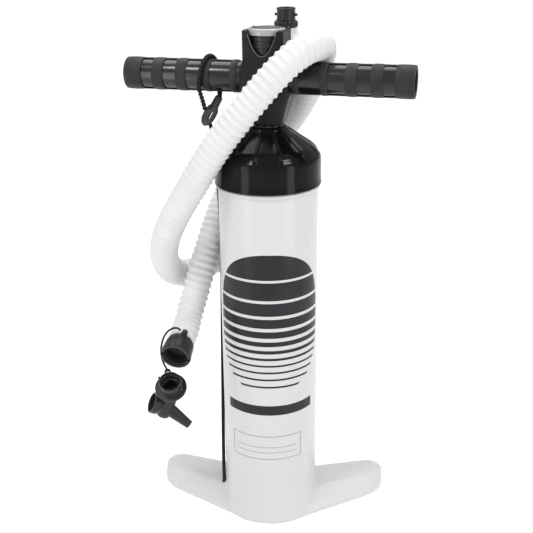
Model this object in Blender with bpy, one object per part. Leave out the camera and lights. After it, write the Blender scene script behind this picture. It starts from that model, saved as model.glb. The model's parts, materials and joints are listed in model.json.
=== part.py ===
"""Stand-up manual air pump: barrel on a swept foot, T handle with pressure gauge, hose and leash.

Metres, +Z up. The origin is the centre of the sole. The foot's wings lie along X and sweep back towards +Y.
The handle is built along X about the pump axis and then turned a little, as it swivels on a real pump.
"""
import math

import bmesh
import bpy
from mathutils import Matrix, Vector

GAP = 0.0003                     # clearance kept between pieces that touch

# Barrel and foot
BARREL_R = 0.0550
BARREL_WALL = 0.0030
BARREL_TOP = 0.4320
FLOOR_TOP = 0.0100
BORE_R = BARREL_R - BARREL_WALL
WING_REACH = 0.1390              # half span of the foot
WING_FRONT_SLOPE = 0.625
WING_BACK_SLOPE = 0.33
LEASH_HOLE = (-0.0574, -0.0095)
LEASH_HOLE_R = 0.0030

# Cap, guide and stroke
CAP_R = 0.0582
CAP_RIM = 0.4062
CAP_TOP = 0.4680
GUIDE_R = 0.0135
GUIDE_BOTTOM = 0.4040
GUIDE_TOP = 0.4705
ROD_R = 0.0100
ROD_BORE = 0.0080
ROD_BOTTOM = 0.0150
ROD_TOP = 0.5080

# Piston
PISTON_BOTTOM = 0.0300
PISTON_TOP = 0.0480
PISTON_R = 0.0510
VALVE_HOLE_RING = 0.0300
VALVE_HOLES = 6
BUFFER_TOP = 0.0605

# Handle, in its own frame: s along the grips, o towards the back, z up
HANDLE_TURN = math.radians(-10.8)
HANDLE_Z = 0.5193
COLUMN_BOTTOM = 0.4708
HOUSING_TOP = 0.5685
HOUSING_HALF = (0.0220, 0.0205)
GAUGE_SEAT = 0.5400
LENS_SEAT = 0.5634
GAUGE_BORE_R = 0.0185
LENS_BORE_R = 0.0201
ARM_REACH = 0.0260
SOCKET_R = 0.0160
SOCKET_FLOOR = 0.0120
TUBE_R = 0.0157
TUBE_BORE = 0.0137
TUBE_END = 0.1541
SLEEVE_R = 0.0170
SLEEVE_START = 0.0300
SLEEVE_END = 0.1565
WINDOWS = [(0.0370, 0.0595), (0.0670, 0.0860), (0.0975, 0.1120), (0.1245, 0.1370)]
WINDOW_SPAN = (math.radians(-66), math.radians(80))     # round the sleeve, from level
GAUGE_SCREW_AT = (0.0188, 0.0174)

# Hose, its ends and the leash
HOSE_R = 0.0156
PLUG_AT = (0.0168, 0.0592)
PLUG_PIN_TURN = math.radians(-20)
HOSE_START_Z = 0.5517
LEASH_R = 0.0021
LEASH_GRIP_AT = -0.0710          # where the leash passes over the front of the left grip

HOSE_ROUTE = [
    (17, 59, 552), (16, 61, 528), (3, 66, 492), (-11, 71, 456), (-10, 77, 419), (-11, 83, 376),
    (-22, 84, 338), (-40, 80, 310), (-63, 71, 291), (-87, 60, 279), (-109, 45, 276), (-122, 23, 292),
    (-122, 2, 322), (-111, -15, 354), (-93, -28, 386), (-75, -39, 415), (-56, -49, 446), (-35, -54, 475),
    (-15, -55, 499), (2, -55, 519), (19, -51, 537), (35.5, -42, 550.5), (48.5, -25, 555.5), (56, -3, 553),
    (57, 20, 543.5), (52, 42, 522), (40, 61, 495), (25, 83, 465), (7, 105, 438), (-13, 118, 415),
    (-30, 114, 400), (-42, 100, 389), (-51, 80, 377), (-60, 59, 357), (-69, 38, 331), (-77, 21, 304),
    (-84, 10, 279), (-90, 4, 257), (-94.5, -2, 242), (-96.2, -12, 232.5), (-97.8, -24, 227)]
CONNECTOR_AXIS = Vector((-0.137, -0.935, -0.326)).normalized()
LEASH_ROUTE = [
    (-57.4, -9.5, 5), (-57.4, -9.5, 22), (-58, -5.6, 60), (-58, 2, 110), (-57.5, 7.2, 170),
    (-56.8, 12.2, 240), (-55.9, 16.8, 300), (-56, 19.6, 350), (-57.5, 20, 385), (-58.8, 18.8, 408),
    (-59.3, 17.4, 430), (-59.9, 16.2, 444), (-61.4, 14.8, 455), (-64.0, 13.9, 466)]

for old in list(bpy.data.objects):
    bpy.data.objects.remove(old, do_unlink=True)


# ---------------------------------------------------------------- materials

def material(name, colour, roughness, metallic=0.0, transmission=0.0):
    mat = bpy.data.materials.new(name)
    mat.use_nodes = True
    shader = mat.node_tree.nodes["Principled BSDF"]
    shader.inputs["Base Color"].default_value = (*colour, 1.0)
    shader.inputs["Roughness"].default_value = roughness
    shader.inputs["Metallic"].default_value = metallic
    shader.inputs["Transmission Weight"].default_value = transmission
    return mat


WHITE = material("white_moulding", (0.80, 0.80, 0.80), 0.35)
WHITE_HOSE = material("white_hose", (0.84, 0.84, 0.84), 0.45)
BLACK_GLOSS = material("black_gloss_plastic", (0.012, 0.012, 0.012), 0.12)
BLACK_MATT = material("black_matt_plastic", (0.030, 0.030, 0.030), 0.45)
RUBBER = material("black_rubber", (0.035, 0.035, 0.035), 0.75)
CORD = material("black_cord", (0.015, 0.015, 0.015), 0.80)
STEEL = material("steel", (0.55, 0.55, 0.56), 0.30, metallic=1.0)
ALLOY = material("rod_alloy", (0.70, 0.70, 0.72), 0.25, metallic=1.0)
CLEAR = material("clear_lens", (0.92, 0.93, 0.94), 0.05, transmission=1.0)
DIAL = material("dial_white", (0.85, 0.85, 0.85), 0.50)
NEEDLE = material("needle_red", (0.55, 0.03, 0.02), 0.40)


# ---------------------------------------------------------------- frames and helpers

def empty(name, parent=None):
    obj = bpy.data.objects.new(name, None)
    bpy.context.collection.objects.link(obj)
    obj.parent = parent
    return obj


PLUNGER = empty("plunger_frame")
HANDLE = empty("handle_frame", PLUNGER)
HANDLE.rotation_euler = (0.0, 0.0, HANDLE_TURN)


def finish(bm, name, mat, parent=None, place=None):
    """Turn a bmesh into a named object whose local axes are moved by the matrix place."""
    bmesh.ops.recalc_face_normals(bm, faces=bm.faces)
    mesh = bpy.data.meshes.new(name)
    bm.to_mesh(mesh)
    bm.free()
    mesh.shade_smooth()
    mesh.set_sharp_from_angle(angle=math.radians(35))
    mesh.materials.append(mat)
    obj = bpy.data.objects.new(name, mesh)
    bpy.context.collection.objects.link(obj)
    obj.parent = parent
    if place is not None:
        obj.matrix_local = place
    return obj


def along(axis, at=(0, 0, 0)):
    """Matrix that puts local +Z along axis and the local origin at the point at."""
    return Matrix.Translation(Vector(at)) @ Vector(axis).to_track_quat("Z", "Y").to_matrix().to_4x4()


def lathe(name, mat, profile, segments=32, parent=None, place=None, phase=0.0):
    """Revolve a closed (radius, height) outline about local Z, starting phase of a step round."""
    bm = bmesh.new()
    rings = []
    for radius, height in profile:
        if radius == 0:
            rings.append([bm.verts.new((0, 0, height))])
            continue
        ring = []
        for i in range(segments):
            turn = math.tau * (i + phase) / segments
            ring.append(bm.verts.new((radius * math.cos(turn), radius * math.sin(turn), height)))
        rings.append(ring)
    for k, lower in enumerate(rings):
        upper = rings[(k + 1) % len(rings)]
        if len(lower) == 1 and len(upper) == 1:
            continue
        for i in range(segments):
            j = (i + 1) % segments
            corners = (lower[i % len(lower)], lower[j % len(lower)],
                       upper[j % len(upper)], upper[i % len(upper)])
            bm.faces.new(dict.fromkeys(corners))
    return finish(bm, name, mat, parent, place)


def loft(name, mat, sections, parent=None, place=None):
    """Join closed rings of points, each with the same count, and cap both ends."""
    bm = bmesh.new()
    rings = [[bm.verts.new(point) for point in section] for section in sections]
    count = len(rings[0])
    for lower, upper in zip(rings, rings[1:]):
        for i in range(count):
            j = (i + 1) % count
            bm.faces.new((lower[i], lower[j], upper[j], upper[i]))
    bm.faces.new(rings[0])
    bm.faces.new(rings[-1])
    return finish(bm, name, mat, parent, place)


def rounded_rectangle(half_s, half_o, corner, z, steps=4):
    """Ring of points round a rectangle with round corners, at height z."""
    points = []
    for quarter in range(4):
        sign_s = 1 if quarter in (0, 3) else -1
        sign_o = 1 if quarter in (0, 1) else -1
        for k in range(steps + 1):
            turn = math.pi / 2 * (quarter + k / steps)
            s = sign_s * (half_s - corner) + corner * math.cos(turn)
            o = sign_o * (half_o - corner) + corner * math.sin(turn)
            points.append((s, o, z))
    return points


def box(name, low, high, parent=None):
    corners = [(low[0], low[1]), (high[0], low[1]), (high[0], high[1]), (low[0], high[1])]
    sections = [[(x, y, z) for x, y in corners] for z in (low[2], high[2])]
    return loft(name, BLACK_MATT, sections, parent)


def rod(name, radius, length, segments=16, parent=None, place=None):
    """Plain round bar from local Z 0 to length."""
    outline = [(0, 0), (radius, 0), (radius, length), (0, length)]
    return lathe(name, BLACK_MATT, outline, segments, parent, place, 0.31)


def combine(target, tool, operation):
    """Boolean with a tool that is left as a hidden guide."""
    tool.hide_render = True
    tool.display_type = "WIRE"
    modifier = target.modifiers.new(tool.name, "BOOLEAN")
    modifier.operation = operation
    modifier.solver = "EXACT"
    modifier.object = tool


def cut(target, *tools):
    for tool in tools:
        combine(target, tool, "DIFFERENCE")


def add(target, *tools):
    for tool in tools:
        combine(target, tool, "UNION")


def smooth_route(points, per_span=12):
    """Uniform cubic B-spline that starts and ends on the first and last points, in metres."""
    pts = [Vector(p) * 0.001 for p in points]
    pts = [2 * pts[0] - pts[1]] + pts + [2 * pts[-1] - pts[-2]]
    curve = []
    for i in range(len(pts) - 3):
        for k in range(per_span):
            t = k / per_span
            weights = ((1 - t) ** 3, 3 * t ** 3 - 6 * t ** 2 + 4, -3 * t ** 3 + 3 * t ** 2 + 3 * t + 1,
                       t ** 3)
            curve.append(sum((w * p for w, p in zip(weights, pts[i:i + 4])), Vector()) / 6)
    curve.append(Vector(points[-1]) * 0.001)
    return curve


def even_points(curve, spacing):
    """Points a constant distance apart along a dense curve, ends included."""
    lengths = [0.0]
    for a, b in zip(curve, curve[1:]):
        lengths.append(lengths[-1] + (b - a).length)
    count = max(2, round(lengths[-1] / spacing))
    result = []
    k = 0
    for i in range(count + 1):
        wanted = lengths[-1] * i / count
        while k < len(lengths) - 2 and lengths[k + 1] < wanted:
            k += 1
        part = (wanted - lengths[k]) / (lengths[k + 1] - lengths[k])
        result.append(curve[k].lerp(curve[k + 1], part))
    return result


def tube(name, mat, points, radius, resolution=2, parent=None):
    """Solid round cord along a list of points."""
    curve = bpy.data.curves.new(name, "CURVE")
    curve.dimensions = "3D"
    curve.bevel_depth = radius
    curve.bevel_resolution = resolution
    curve.use_fill_caps = True
    spline = curve.splines.new("POLY")
    spline.points.add(len(points) - 1)
    for spot, point in zip(spline.points, points):
        spot.co = (*point, 1.0)
    curve.materials.append(mat)
    obj = bpy.data.objects.new(name, curve)
    bpy.context.collection.objects.link(obj)
    obj.parent = parent
    return obj


# ---------------------------------------------------------------- barrel and foot

def wing_front(x):
    reach = abs(x)
    if reach < 0.042:
        return -0.0400
    return -0.0435 + WING_FRONT_SLOPE * (reach - 0.044)


def wing_back(x):
    return 0.0287 + WING_BACK_SLOPE * abs(x)


def wing_section(x):
    """Cross section of the foot at x: vertical edges, a ridge behind the front edge and a crowned top."""
    reach = min(abs(x) / WING_REACH, 1.0)
    front, back = wing_front(x), wing_back(x)
    tip = max(0.0, (abs(x) - 0.117) / (WING_REACH - 0.117))
    round_off = 0.022 * (1 - math.sqrt(max(0.0, 1 - tip ** 2)))
    front += round_off * 0.8
    back -= round_off
    ridge = 0.0270 - 0.0095 * reach - 0.0025 * tip ** 3
    rise = 0.0240 - 0.0080 * reach
    depth = back - front
    outline = [(0.0, 0.0), (0.0, 0.0050), (0.10, ridge * 0.55), (rise / depth, ridge), (0.62, ridge * 0.93),
               (0.93, ridge * 0.70), (1.0, ridge * 0.50), (1.0, 0.0)]
    return [(x, front + depth * t, z) for t, z in outline]


def barrel():
    stations = [-0.139, -0.136, -0.130, -0.117, -0.100, -0.080, -0.060, -0.042]
    stations += [0.0] + [-x for x in reversed(stations)]
    body = loft("barrel", WHITE, [wing_section(x) for x in stations])
    shell = lathe("barrel_shell", WHITE, [
        (0, 0), (0.0615, 0), (0.0615, 0.0050), (0.0585, 0.0140), (0.0560, 0.0260), (BARREL_R, 0.0400),
        (BARREL_R, 0.4008), (0.0572, 0.4016), (0.0572, 0.4052), (BARREL_R, 0.4058), (BARREL_R, BARREL_TOP),
        (0, BARREL_TOP)], 64)
    bore = rod("barrel_bore", BORE_R, 0.5, 64, None, Matrix.Translation((0, 0, FLOOR_TOP)))
    x, y = LEASH_HOLE
    hole = rod("leash_hole", LEASH_HOLE_R, 0.06, 16, None, Matrix.Translation((x, y, -0.01)))
    pocket = rod("knot_pocket", 0.0068, 0.020, 16, None, Matrix.Translation((x - 0.0020, y, -0.0110)))
    add(body, shell)
    cut(body, bore, hole, pocket)


def cap_parts():
    lathe("barrel_cap", BLACK_GLOSS, [
        (GUIDE_R + GAP, CAP_TOP), (0.0195, CAP_TOP), (0.0490, 0.4478), (0.0540, 0.4428), (0.0568, 0.4375),
        (CAP_R, 0.4310), (CAP_R, 0.4076), (0.0586, CAP_RIM), (BARREL_R + GAP, CAP_RIM),
        (BARREL_R + GAP, 0.4346), (0.0512, 0.4346), (0.0460, 0.4440), (0.0200, 0.4610),
        (GUIDE_R + GAP, 0.4610)], 48)
    lathe("cap_seal", RUBBER, [
        (0.0522, BARREL_TOP + GAP), (0.0548, BARREL_TOP + GAP), (0.0548, 0.4343), (0.0522, 0.4343)], 48)
    lathe("rod_guide", BLACK_MATT, [
        (ROD_R + GAP, GUIDE_BOTTOM), (GUIDE_R, GUIDE_BOTTOM), (GUIDE_R, CAP_TOP + GAP),
        (0.0166, CAP_TOP + GAP), (0.0166, GUIDE_TOP), (0.0131, GUIDE_TOP), (0.0131, 0.4660),
        (ROD_R + GAP, 0.4660)])
    lathe("rod_wiper", RUBBER, [
        (ROD_R + GAP, 0.4663), (0.0128, 0.4663), (0.0128, 0.4700), (0.0115, 0.4700)])


# ---------------------------------------------------------------- rod and piston

def piston_parts():
    shank = lathe("pump_rod", ALLOY, [
        (ROD_BORE, ROD_BOTTOM), (ROD_R, ROD_BOTTOM), (ROD_R, ROD_TOP), (ROD_BORE, ROD_TOP)], 32, HANDLE)
    cut(shank, rod("rod_screw_way", 0.0023, 0.03, 12, HANDLE, along((0, -1, 0), (0, 0.0150, 0.4880))))
    disc = lathe("piston", BLACK_MATT, [
        (ROD_R + GAP, PISTON_BOTTOM), (PISTON_R, PISTON_BOTTOM), (PISTON_R, 0.0357), (0.0478, 0.0357),
        (0.0478, 0.0423), (PISTON_R, 0.0423), (PISTON_R, PISTON_TOP), (ROD_R + GAP, PISTON_TOP)], 48, PLUNGER)
    for i in range(VALVE_HOLES):
        turn = math.tau * i / VALVE_HOLES
        at = (VALVE_HOLE_RING * math.cos(turn), VALVE_HOLE_RING * math.sin(turn), PISTON_BOTTOM - 0.01)
        cut(disc, rod(f"valve_hole_{i + 1}", 0.0035, 0.04, 12, PLUNGER, Matrix.Translation(at)))
    lathe("piston_cup", RUBBER, [
        (0.0481, 0.0360), (0.0512, 0.0360), (0.0517, 0.0390), (0.0512, 0.0420), (0.0481, 0.0420)], 48,
        PLUNGER)
    lathe("intake_flap", RUBBER, [
        (0.0125, 0.0280), (0.0380, 0.0280), (0.0380, 0.0296), (0.0125, 0.0296)], 32, PLUNGER)
    lathe("piston_nut", STEEL, [
        (ROD_R + GAP, 0.0165), (0.0160, 0.0165), (0.0160, 0.0220), (0.0200, 0.0228), (0.0200, 0.0248),
        (0.0118, 0.0248), (0.0118, 0.0297), (ROD_R + GAP, 0.0297)], 24, PLUNGER)
    lathe("stop_buffer", RUBBER, [
        (ROD_R + GAP, PISTON_TOP + GAP), (0.0180, PISTON_TOP + GAP), (0.0185, 0.0545), (0.0180, BUFFER_TOP),
        (ROD_R + GAP, BUFFER_TOP)], 24, PLUNGER)


# ---------------------------------------------------------------- handle hub

def hub():
    body = loft("handle_hub", BLACK_GLOSS, [
        rounded_rectangle(0.0185, 0.0145, 0.0070, COLUMN_BOTTOM),
        rounded_rectangle(0.0198, 0.0158, 0.0070, 0.4735),
        rounded_rectangle(0.0280, 0.0196, 0.0060, 0.5020),
        rounded_rectangle(0.0225, 0.0204, 0.0050, 0.5300),
        rounded_rectangle(0.0220, HOUSING_HALF[1], 0.0045, HOUSING_TOP)], HANDLE)
    arms = lathe("hub_arms", BLACK_GLOSS, [
        (0, -ARM_REACH), (0.0170, -ARM_REACH), (0.0172, 0), (0.0170, ARM_REACH), (0, ARM_REACH)], 32, HANDLE,
        along((1, 0, 0), (0, 0, HANDLE_Z)))
    add(body, arms)
    core = lathe("hub_core", BLACK_GLOSS, [
        (0, 0.4600), (ROD_R + GAP, 0.4600), (ROD_R + GAP, ROD_TOP + GAP), (0.0070, ROD_TOP + GAP),
        (0.0070, GAUGE_SEAT), (GAUGE_BORE_R, GAUGE_SEAT), (GAUGE_BORE_R, LENS_SEAT), (LENS_BORE_R, LENS_SEAT),
        (LENS_BORE_R, 0.6000), (0, 0.6000)], 32, HANDLE)
    outlet_way = lathe("outlet_way", BLACK_GLOSS, [
        (0, 0), (0.0045, 0), (0.0045, 0.0075), (0.0100, 0.0075), (0.0100, 0.0400), (0, 0.0400)], 24, HANDLE,
        along((0, 1, 0), (0, 0, HANDLE_Z)), 0.31)
    screw_way = lathe("rod_screw_pocket", BLACK_GLOSS, [
        (0, -0.0150), (0.0023, -0.0150), (0.0023, 0.0150), (0.0044, 0.0150), (0.0044, 0.0400),
        (0, 0.0400)], 16, HANDLE, along((0, 1, 0), (0, 0, 0.4880)), 0.31)
    cut(body, core, window_cutter(), outlet_way, screw_way)
    for side in (-1, 1):
        socket = rod(f"arm_socket_{side}", SOCKET_R, 0.05, 32, HANDLE,
                     along((side, 0, 0), (side * SOCKET_FLOOR, 0, HANDLE_Z)))
        cut(body, socket)
    for i, (s, o) in enumerate(gauge_screw_spots()):
        at = Matrix.Translation((s, o, 0.5610))
        cut(body, rod(f"gauge_screw_way_{i + 1}", 0.0012, 0.02, 10, HANDLE, at))


def window_cutter():
    """Curved cut-out in the housing front, through which the side of the gauge shows."""
    half_width, depth, steps = 0.0160, 0.0255, 10
    outline = []
    for k in range(steps + 1):
        t = 2 * k / steps - 1
        outline.append((t * half_width, HOUSING_TOP - depth * (1 - abs(t) ** 2.2)))
    outline += [(half_width, HOUSING_TOP + 0.01), (-half_width, HOUSING_TOP + 0.01)]
    sections = [[(s, o, z) for s, z in outline] for o in (-0.030, -0.0120)]
    return loft("housing_window", BLACK_GLOSS, sections, HANDLE)


def gauge_screw_spots():
    s, o = GAUGE_SCREW_AT
    return [(-s, -o), (s, -o), (s, o), (-s, o)]


def gauge():
    lathe("gauge_body", BLACK_MATT, [
        (0.0030, GAUGE_SEAT + GAP), (0.0168, GAUGE_SEAT + GAP), (0.0174, 0.5500), (0.0180, 0.5520),
        (0.0174, 0.5540), (0.0174, 0.5570), (0.0180, 0.5590), (0.0180, 0.5630), (0.0163, 0.5630),
        (0.0163, 0.5580), (0.0030, 0.5580)], 32, HANDLE)
    lathe("gauge_dial", DIAL, [
        (0.0012, 0.5583), (0.0160, 0.5583), (0.0160, 0.5591), (0.0012, 0.5591)], 32, HANDLE)
    lathe("gauge_lens", CLEAR, [
        (0, 0.5672), (0.0170, 0.5672), (0.0170, 0.5637), (0.0198, 0.5637), (0.0198, 0.5688), (0.0185, 0.5700),
        (0.0120, 0.5713), (0, 0.5720)], 32, HANDLE)
    needle = [(-0.0045, -0.0010), (0.0, -0.0016), (0.0135, -0.0003), (0.0135, 0.0003), (0.0, 0.0016),
              (-0.0045, 0.0010)]
    turn = math.radians(225)
    turned = Matrix.Rotation(turn, 4, "Z")
    loft("gauge_needle", NEEDLE, [[turned @ Vector((x, y, z)) for x, y in needle] for z in (0.5600, 0.5608)],
         HANDLE)
    for i, (s, o) in enumerate(gauge_screw_spots()):
        lathe(f"gauge_screw_{i + 1}", STEEL, [
            (0, 0.5630), (0.0009, 0.5630), (0.0009, HOUSING_TOP + GAP), (0.0015, HOUSING_TOP + GAP),
            (0.0013, 0.5697), (0, 0.5697)], 10, HANDLE, Matrix.Translation((s, o, 0)))
    lathe("rod_screw", STEEL, [
        (0, 0), (0.0020, 0), (0.0020, 0.0290), (0.0041, 0.0290), (0.0038, 0.0315), (0, 0.0315)], 12, HANDLE,
        along((0, 1, 0), (0, -0.0137, 0.4880)))


def outlet():
    back = along((0, 1, 0), (0, 0, HANDLE_Z))
    lathe("outlet_socket", BLACK_MATT, [
        (0.0060, 0.0078), (0.0097, 0.0078), (0.0097, 0.0208), (0.0162, 0.0208), (0.0162, 0.0335),
        (0.0125, 0.0335), (0.0125, 0.0225), (0.0060, 0.0225)], 32, HANDLE, back)
    lathe("outlet_o_ring", RUBBER, [
        (0.0096, 0.0228), (0.0122, 0.0228), (0.0122, 0.0248), (0.0096, 0.0248)], 24, HANDLE, back)
    lathe("outlet_valve_disc", RUBBER, [
        (0, 0.0085), (0.0056, 0.0085), (0.0056, 0.0100), (0, 0.0100)], 20, HANDLE, back)


# ---------------------------------------------------------------- grips

def grips():
    for side, label in ((-1, "left"), (1, "right")):
        out = along((side, 0, 0), (0, 0, HANDLE_Z))
        lathe(f"grip_tube_{label}", BLACK_GLOSS, [
            (TUBE_BORE, SOCKET_FLOOR + GAP), (TUBE_R, SOCKET_FLOOR + GAP), (TUBE_R, TUBE_END),
            (TUBE_BORE, TUBE_END)], 32, HANDLE, out)
        sleeve = lathe(f"grip_sleeve_{label}", RUBBER, [
            (TUBE_R + GAP, SLEEVE_START), (SLEEVE_R, SLEEVE_START), (SLEEVE_R, SLEEVE_END - 0.0010),
            (SLEEVE_R - 0.0010, SLEEVE_END), (0.0130, SLEEVE_END), (0.0130, TUBE_END + GAP),
            (TUBE_R + GAP, TUBE_END + GAP)], 32, HANDLE, out)
        for i, (near, far) in enumerate(WINDOWS):
            for face, facing in ((-1, "front"), (1, "back")):
                name = f"grip_window_{label}_{facing}_{i + 1}"
                cut(sleeve, window_wedge(name, side * near, side * far, face))


def window_wedge(name, start, end, face):
    """Wedge from the grip's axis outwards, which opens one window in the front or back of a sleeve."""
    low, high = WINDOW_SPAN
    angles = (low, 0.35 * low, 0.35 * high, high)
    rays = [(0.0040, 0.0)] + [(0.0300 * math.cos(a), 0.0300 * math.sin(a)) for a in angles]
    return loft(name, RUBBER, [[(s, face * o, HANDLE_Z + z) for o, z in rays] for s in (start, end)], HANDLE)


# ---------------------------------------------------------------- hose and its ends

def hose():
    points = even_points(smooth_route(HOSE_ROUTE), 0.0180)
    first, last = points[0], points[-1]
    points = [first, first + Vector((0, 0, -0.0040))] + points[1:-1] + [last - CONNECTOR_AXIS * 0.0040, last]
    tube("hose", WHITE_HOSE, points, HOSE_R, 3, PLUNGER)


def hose_plug():
    x, y = PLUG_AT
    up = Matrix.Translation((x, y, 0))
    lathe("plug_cuff", WHITE_HOSE, [
        (0.0090, HOSE_START_Z + 0.0006), (0.0152, HOSE_START_Z + 0.0006), (0.0124, 0.5565), (0.0122, 0.5640),
        (0.0090, 0.5640)], 24, PLUNGER, up)
    plug = lathe("hose_plug", BLACK_MATT, [
        (0.0064, 0.5535), (0.0086, 0.5535), (0.0086, 0.5713), (0.0103, 0.5713), (0.0103, 0.5838),
        (0.0095, 0.5850), (0.0080, 0.5850), (0.0080, 0.5725), (0.0064, 0.5725)], 24, PLUNGER, up)
    for side in (-1, 1):
        out = Vector((side * math.cos(PLUG_PIN_TURN), side * math.sin(PLUG_PIN_TURN), 0))
        at = Vector((x, y, 0.5775)) + out * 0.0088
        add(plug, rod(f"plug_pin_{side}", 0.0015, 0.0045, 10, PLUNGER, along(out, at)))
    lathe("plug_collar", BLACK_MATT, [
        (0.0089, 0.5643), (0.0124, 0.5643), (0.0127, 0.5660), (0.0127, 0.5698), (0.0120, 0.5710),
        (0.0089, 0.5710)], 24, PLUNGER, up)


HOSE_END = Vector(HOSE_ROUTE[-1]) * 0.001
CONNECTOR_BACK = HOSE_END + CONNECTOR_AXIS * 0.0105
LUG_SIDE = (0.30, 0.10, 0.75)


def across(axis, towards):
    """Unit vector square to axis, as near as possible to towards."""
    square = Vector(towards) - axis * Vector(towards).dot(axis)
    return square.normalized()


def framed(axis, towards, at):
    """Matrix with local Z along axis and local X near towards."""
    z = Vector(axis).normalized()
    x = across(z, towards)
    y = z.cross(x)
    turn = Matrix((x, y, z)).transposed().to_4x4()
    return Matrix.Translation(Vector(at)) @ turn


def hose_connector():
    base = framed(CONNECTOR_AXIS, LUG_SIDE, HOSE_END)
    lathe("connector_cuff", WHITE_HOSE, [
        (0.0090, 0.0006), (0.0152, 0.0006), (0.0152, 0.0095), (0.0090, 0.0095)], 24, PLUNGER, base)
    place = framed(CONNECTOR_AXIS, LUG_SIDE, CONNECTOR_BACK)
    cup = lathe("hose_connector", BLACK_MATT, [
        (0.0080, 0), (0.0150, 0), (0.0165, 0.0040), (0.0174, 0.0120), (0.0174, 0.0230), (0.0168, 0.0237),
        (0.0142, 0.0237), (0.0142, 0.0070), (0.0080, 0.0060)], 32, PLUNGER, place)
    lug = rod("connector_lug", 0.0034, 0.0100, 12, PLUNGER, place @ Matrix.Translation((0.0178, 0, 0.0020)))
    add(cup, lug)
    slot_turn = Matrix.Rotation(math.radians(100), 4, "Z")
    slots = box("connector_slots", (-0.03, -0.0022, 0.0190), (0.03, 0.0022, 0.0300), PLUNGER)
    slots.matrix_local = place @ slot_turn
    lug_hole = rod("connector_lug_hole", 0.0014, 0.03, 10, PLUNGER,
                   place @ Matrix.Translation((0.0186, 0, -0.005)))
    cut(cup, slots, lug_hole)


STUB_AXIS = Vector((0.0436, -0.554, 0.8315)).normalized()
STUB_AT = Vector((-0.1121, -0.0396, 0.1676))
TEE_AXIS = Vector((-0.3528, 0.0224, -0.9350)).normalized()
TEE_MOUTH_AXIS = Vector((-0.8390, -0.3138, 0.4440)).normalized()
NOZZLE_AXIS = Vector((0.7951, -0.1611, -0.5780)).normalized()


def ring_of(centre, axis, radius, count=24):
    """Circle of points round a centre, square to axis."""
    x = across(axis, (0.2, -1, 0))
    y = axis.cross(x)
    turns = [math.tau * k / count for k in range(count)]
    return [centre + radius * (x * math.cos(t) + y * math.sin(t)) for t in turns]


def adapters():
    place = framed(STUB_AXIS, (-1, 0, 0.2), STUB_AT)
    stub = lathe("adapter_stub", BLACK_MATT, [
        (0.0080, -0.0060), (0.0125, -0.0060), (0.0125, 0), (0.0184, 0), (0.0184, 0.0032), (0.0134, 0.0032),
        (0.0134, 0.0165), (0.0112, 0.0165), (0.0112, 0.0040), (0.0080, 0.0030)], 32, PLUNGER, place)
    for turn in (-20, 160):
        round_by = Matrix.Rotation(math.radians(turn + 180), 4, "Z")
        at = place @ round_by @ Matrix.Translation((0.0120, 0, 0.0110))
        pin = rod(f"stub_pin_{turn}", 0.0014, 0.0045, 10, PLUNGER, at @ Matrix.Rotation(math.pi / 2, 4, "Y"))
        add(stub, pin)
    eye = place @ Matrix.Rotation(math.radians(-66), 4, "Z") @ Matrix.Translation((0.0160, 0, 0.0085))
    ring = lathe("stub_eye", BLACK_MATT, [
        (0.0016, 0), (0.0038, 0), (0.0038, 0.0040), (0.0016, 0.0040)], 16, PLUNGER, eye)
    add(stub, ring)

    top = STUB_AT - STUB_AXIS * 0.0066
    tee = loft("adapter_tee", BLACK_MATT, [
        ring_of(top, -STUB_AXIS, 0.0095),
        ring_of(top - STUB_AXIS * 0.0030, (TEE_AXIS - STUB_AXIS * 3).normalized(), 0.0095),
        ring_of(top + TEE_AXIS * 0.0080, (TEE_AXIS * 2 - STUB_AXIS).normalized(), 0.0095),
        ring_of(top + TEE_AXIS * 0.0160, TEE_AXIS, 0.0098),
        ring_of(top + TEE_AXIS * 0.0290, TEE_AXIS, 0.0096),
        ring_of(top + TEE_AXIS * 0.0345, TEE_AXIS, 0.0078),
        ring_of(top + TEE_AXIS * 0.0370, TEE_AXIS, 0.0040)], PLUNGER)
    middle = top + TEE_AXIS * 0.0225
    mouth = lathe("tee_mouth", BLACK_MATT, [
        (0, 0), (0.0088, 0), (0.0090, 0.0095), (0.0124, 0.0105), (0.0124, 0.0180), (0, 0.0180)], 24, PLUNGER,
        along(TEE_MOUTH_AXIS, middle))
    nozzle = lathe("tee_nozzle", BLACK_MATT, [
        (0, 0), (0.0078, 0), (0.0075, 0.0100), (0.0050, 0.0350), (0.0042, 0.0360), (0, 0.0360)], 20, PLUNGER,
        along(NOZZLE_AXIS, middle))
    add(tee, mouth, nozzle)
    rim = middle + TEE_MOUTH_AXIS * 0.0115
    cut(tee, rod("tee_mouth_bore", 0.0104, 0.02, 24, PLUNGER, along(TEE_MOUTH_AXIS, rim)),
        rod("tee_nozzle_bore", 0.0026, 0.06, 12, PLUNGER, along(NOZZLE_AXIS, middle)))


TETHER_ROUTE = [
    (-97.3, -42.3, 242.8), (-101.3, -40.8, 246.2), (-108.9, -40.2, 243.6), (-115, -39, 237.5),
    (-119, -38.5, 229.5), (-121.5, -40, 219.5), (-121, -42.5, 209.5), (-118.6, -42.5, 200.5),
    (-116.9, -38.6, 193.4), (-116.4, -34.1, 187.0)]


def tether():
    tube("tether_strap", RUBBER, even_points(smooth_route(TETHER_ROUTE), 0.0040), 0.0012, 2, PLUNGER)


# ---------------------------------------------------------------- leash

def leash_cord():
    tube("leash_cord", CORD, even_points(smooth_route(LEASH_ROUTE), 0.0120), LEASH_R, 2)
    x, y = LEASH_HOLE
    lathe("leash_knot", CORD, [
        (0, 0.0010), (0.0045, 0.0012), (0.0060, 0.0030), (0.0055, 0.0044), (0, 0.0046)], 16, None,
        Matrix.Translation((x - 0.0020, y, 0)))


HOOK_TOP = Vector((-0.0532, 0.0100, 0.4950))
HOOK_AXIS = Vector((-0.50, -0.05, -0.865)).normalized()


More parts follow.
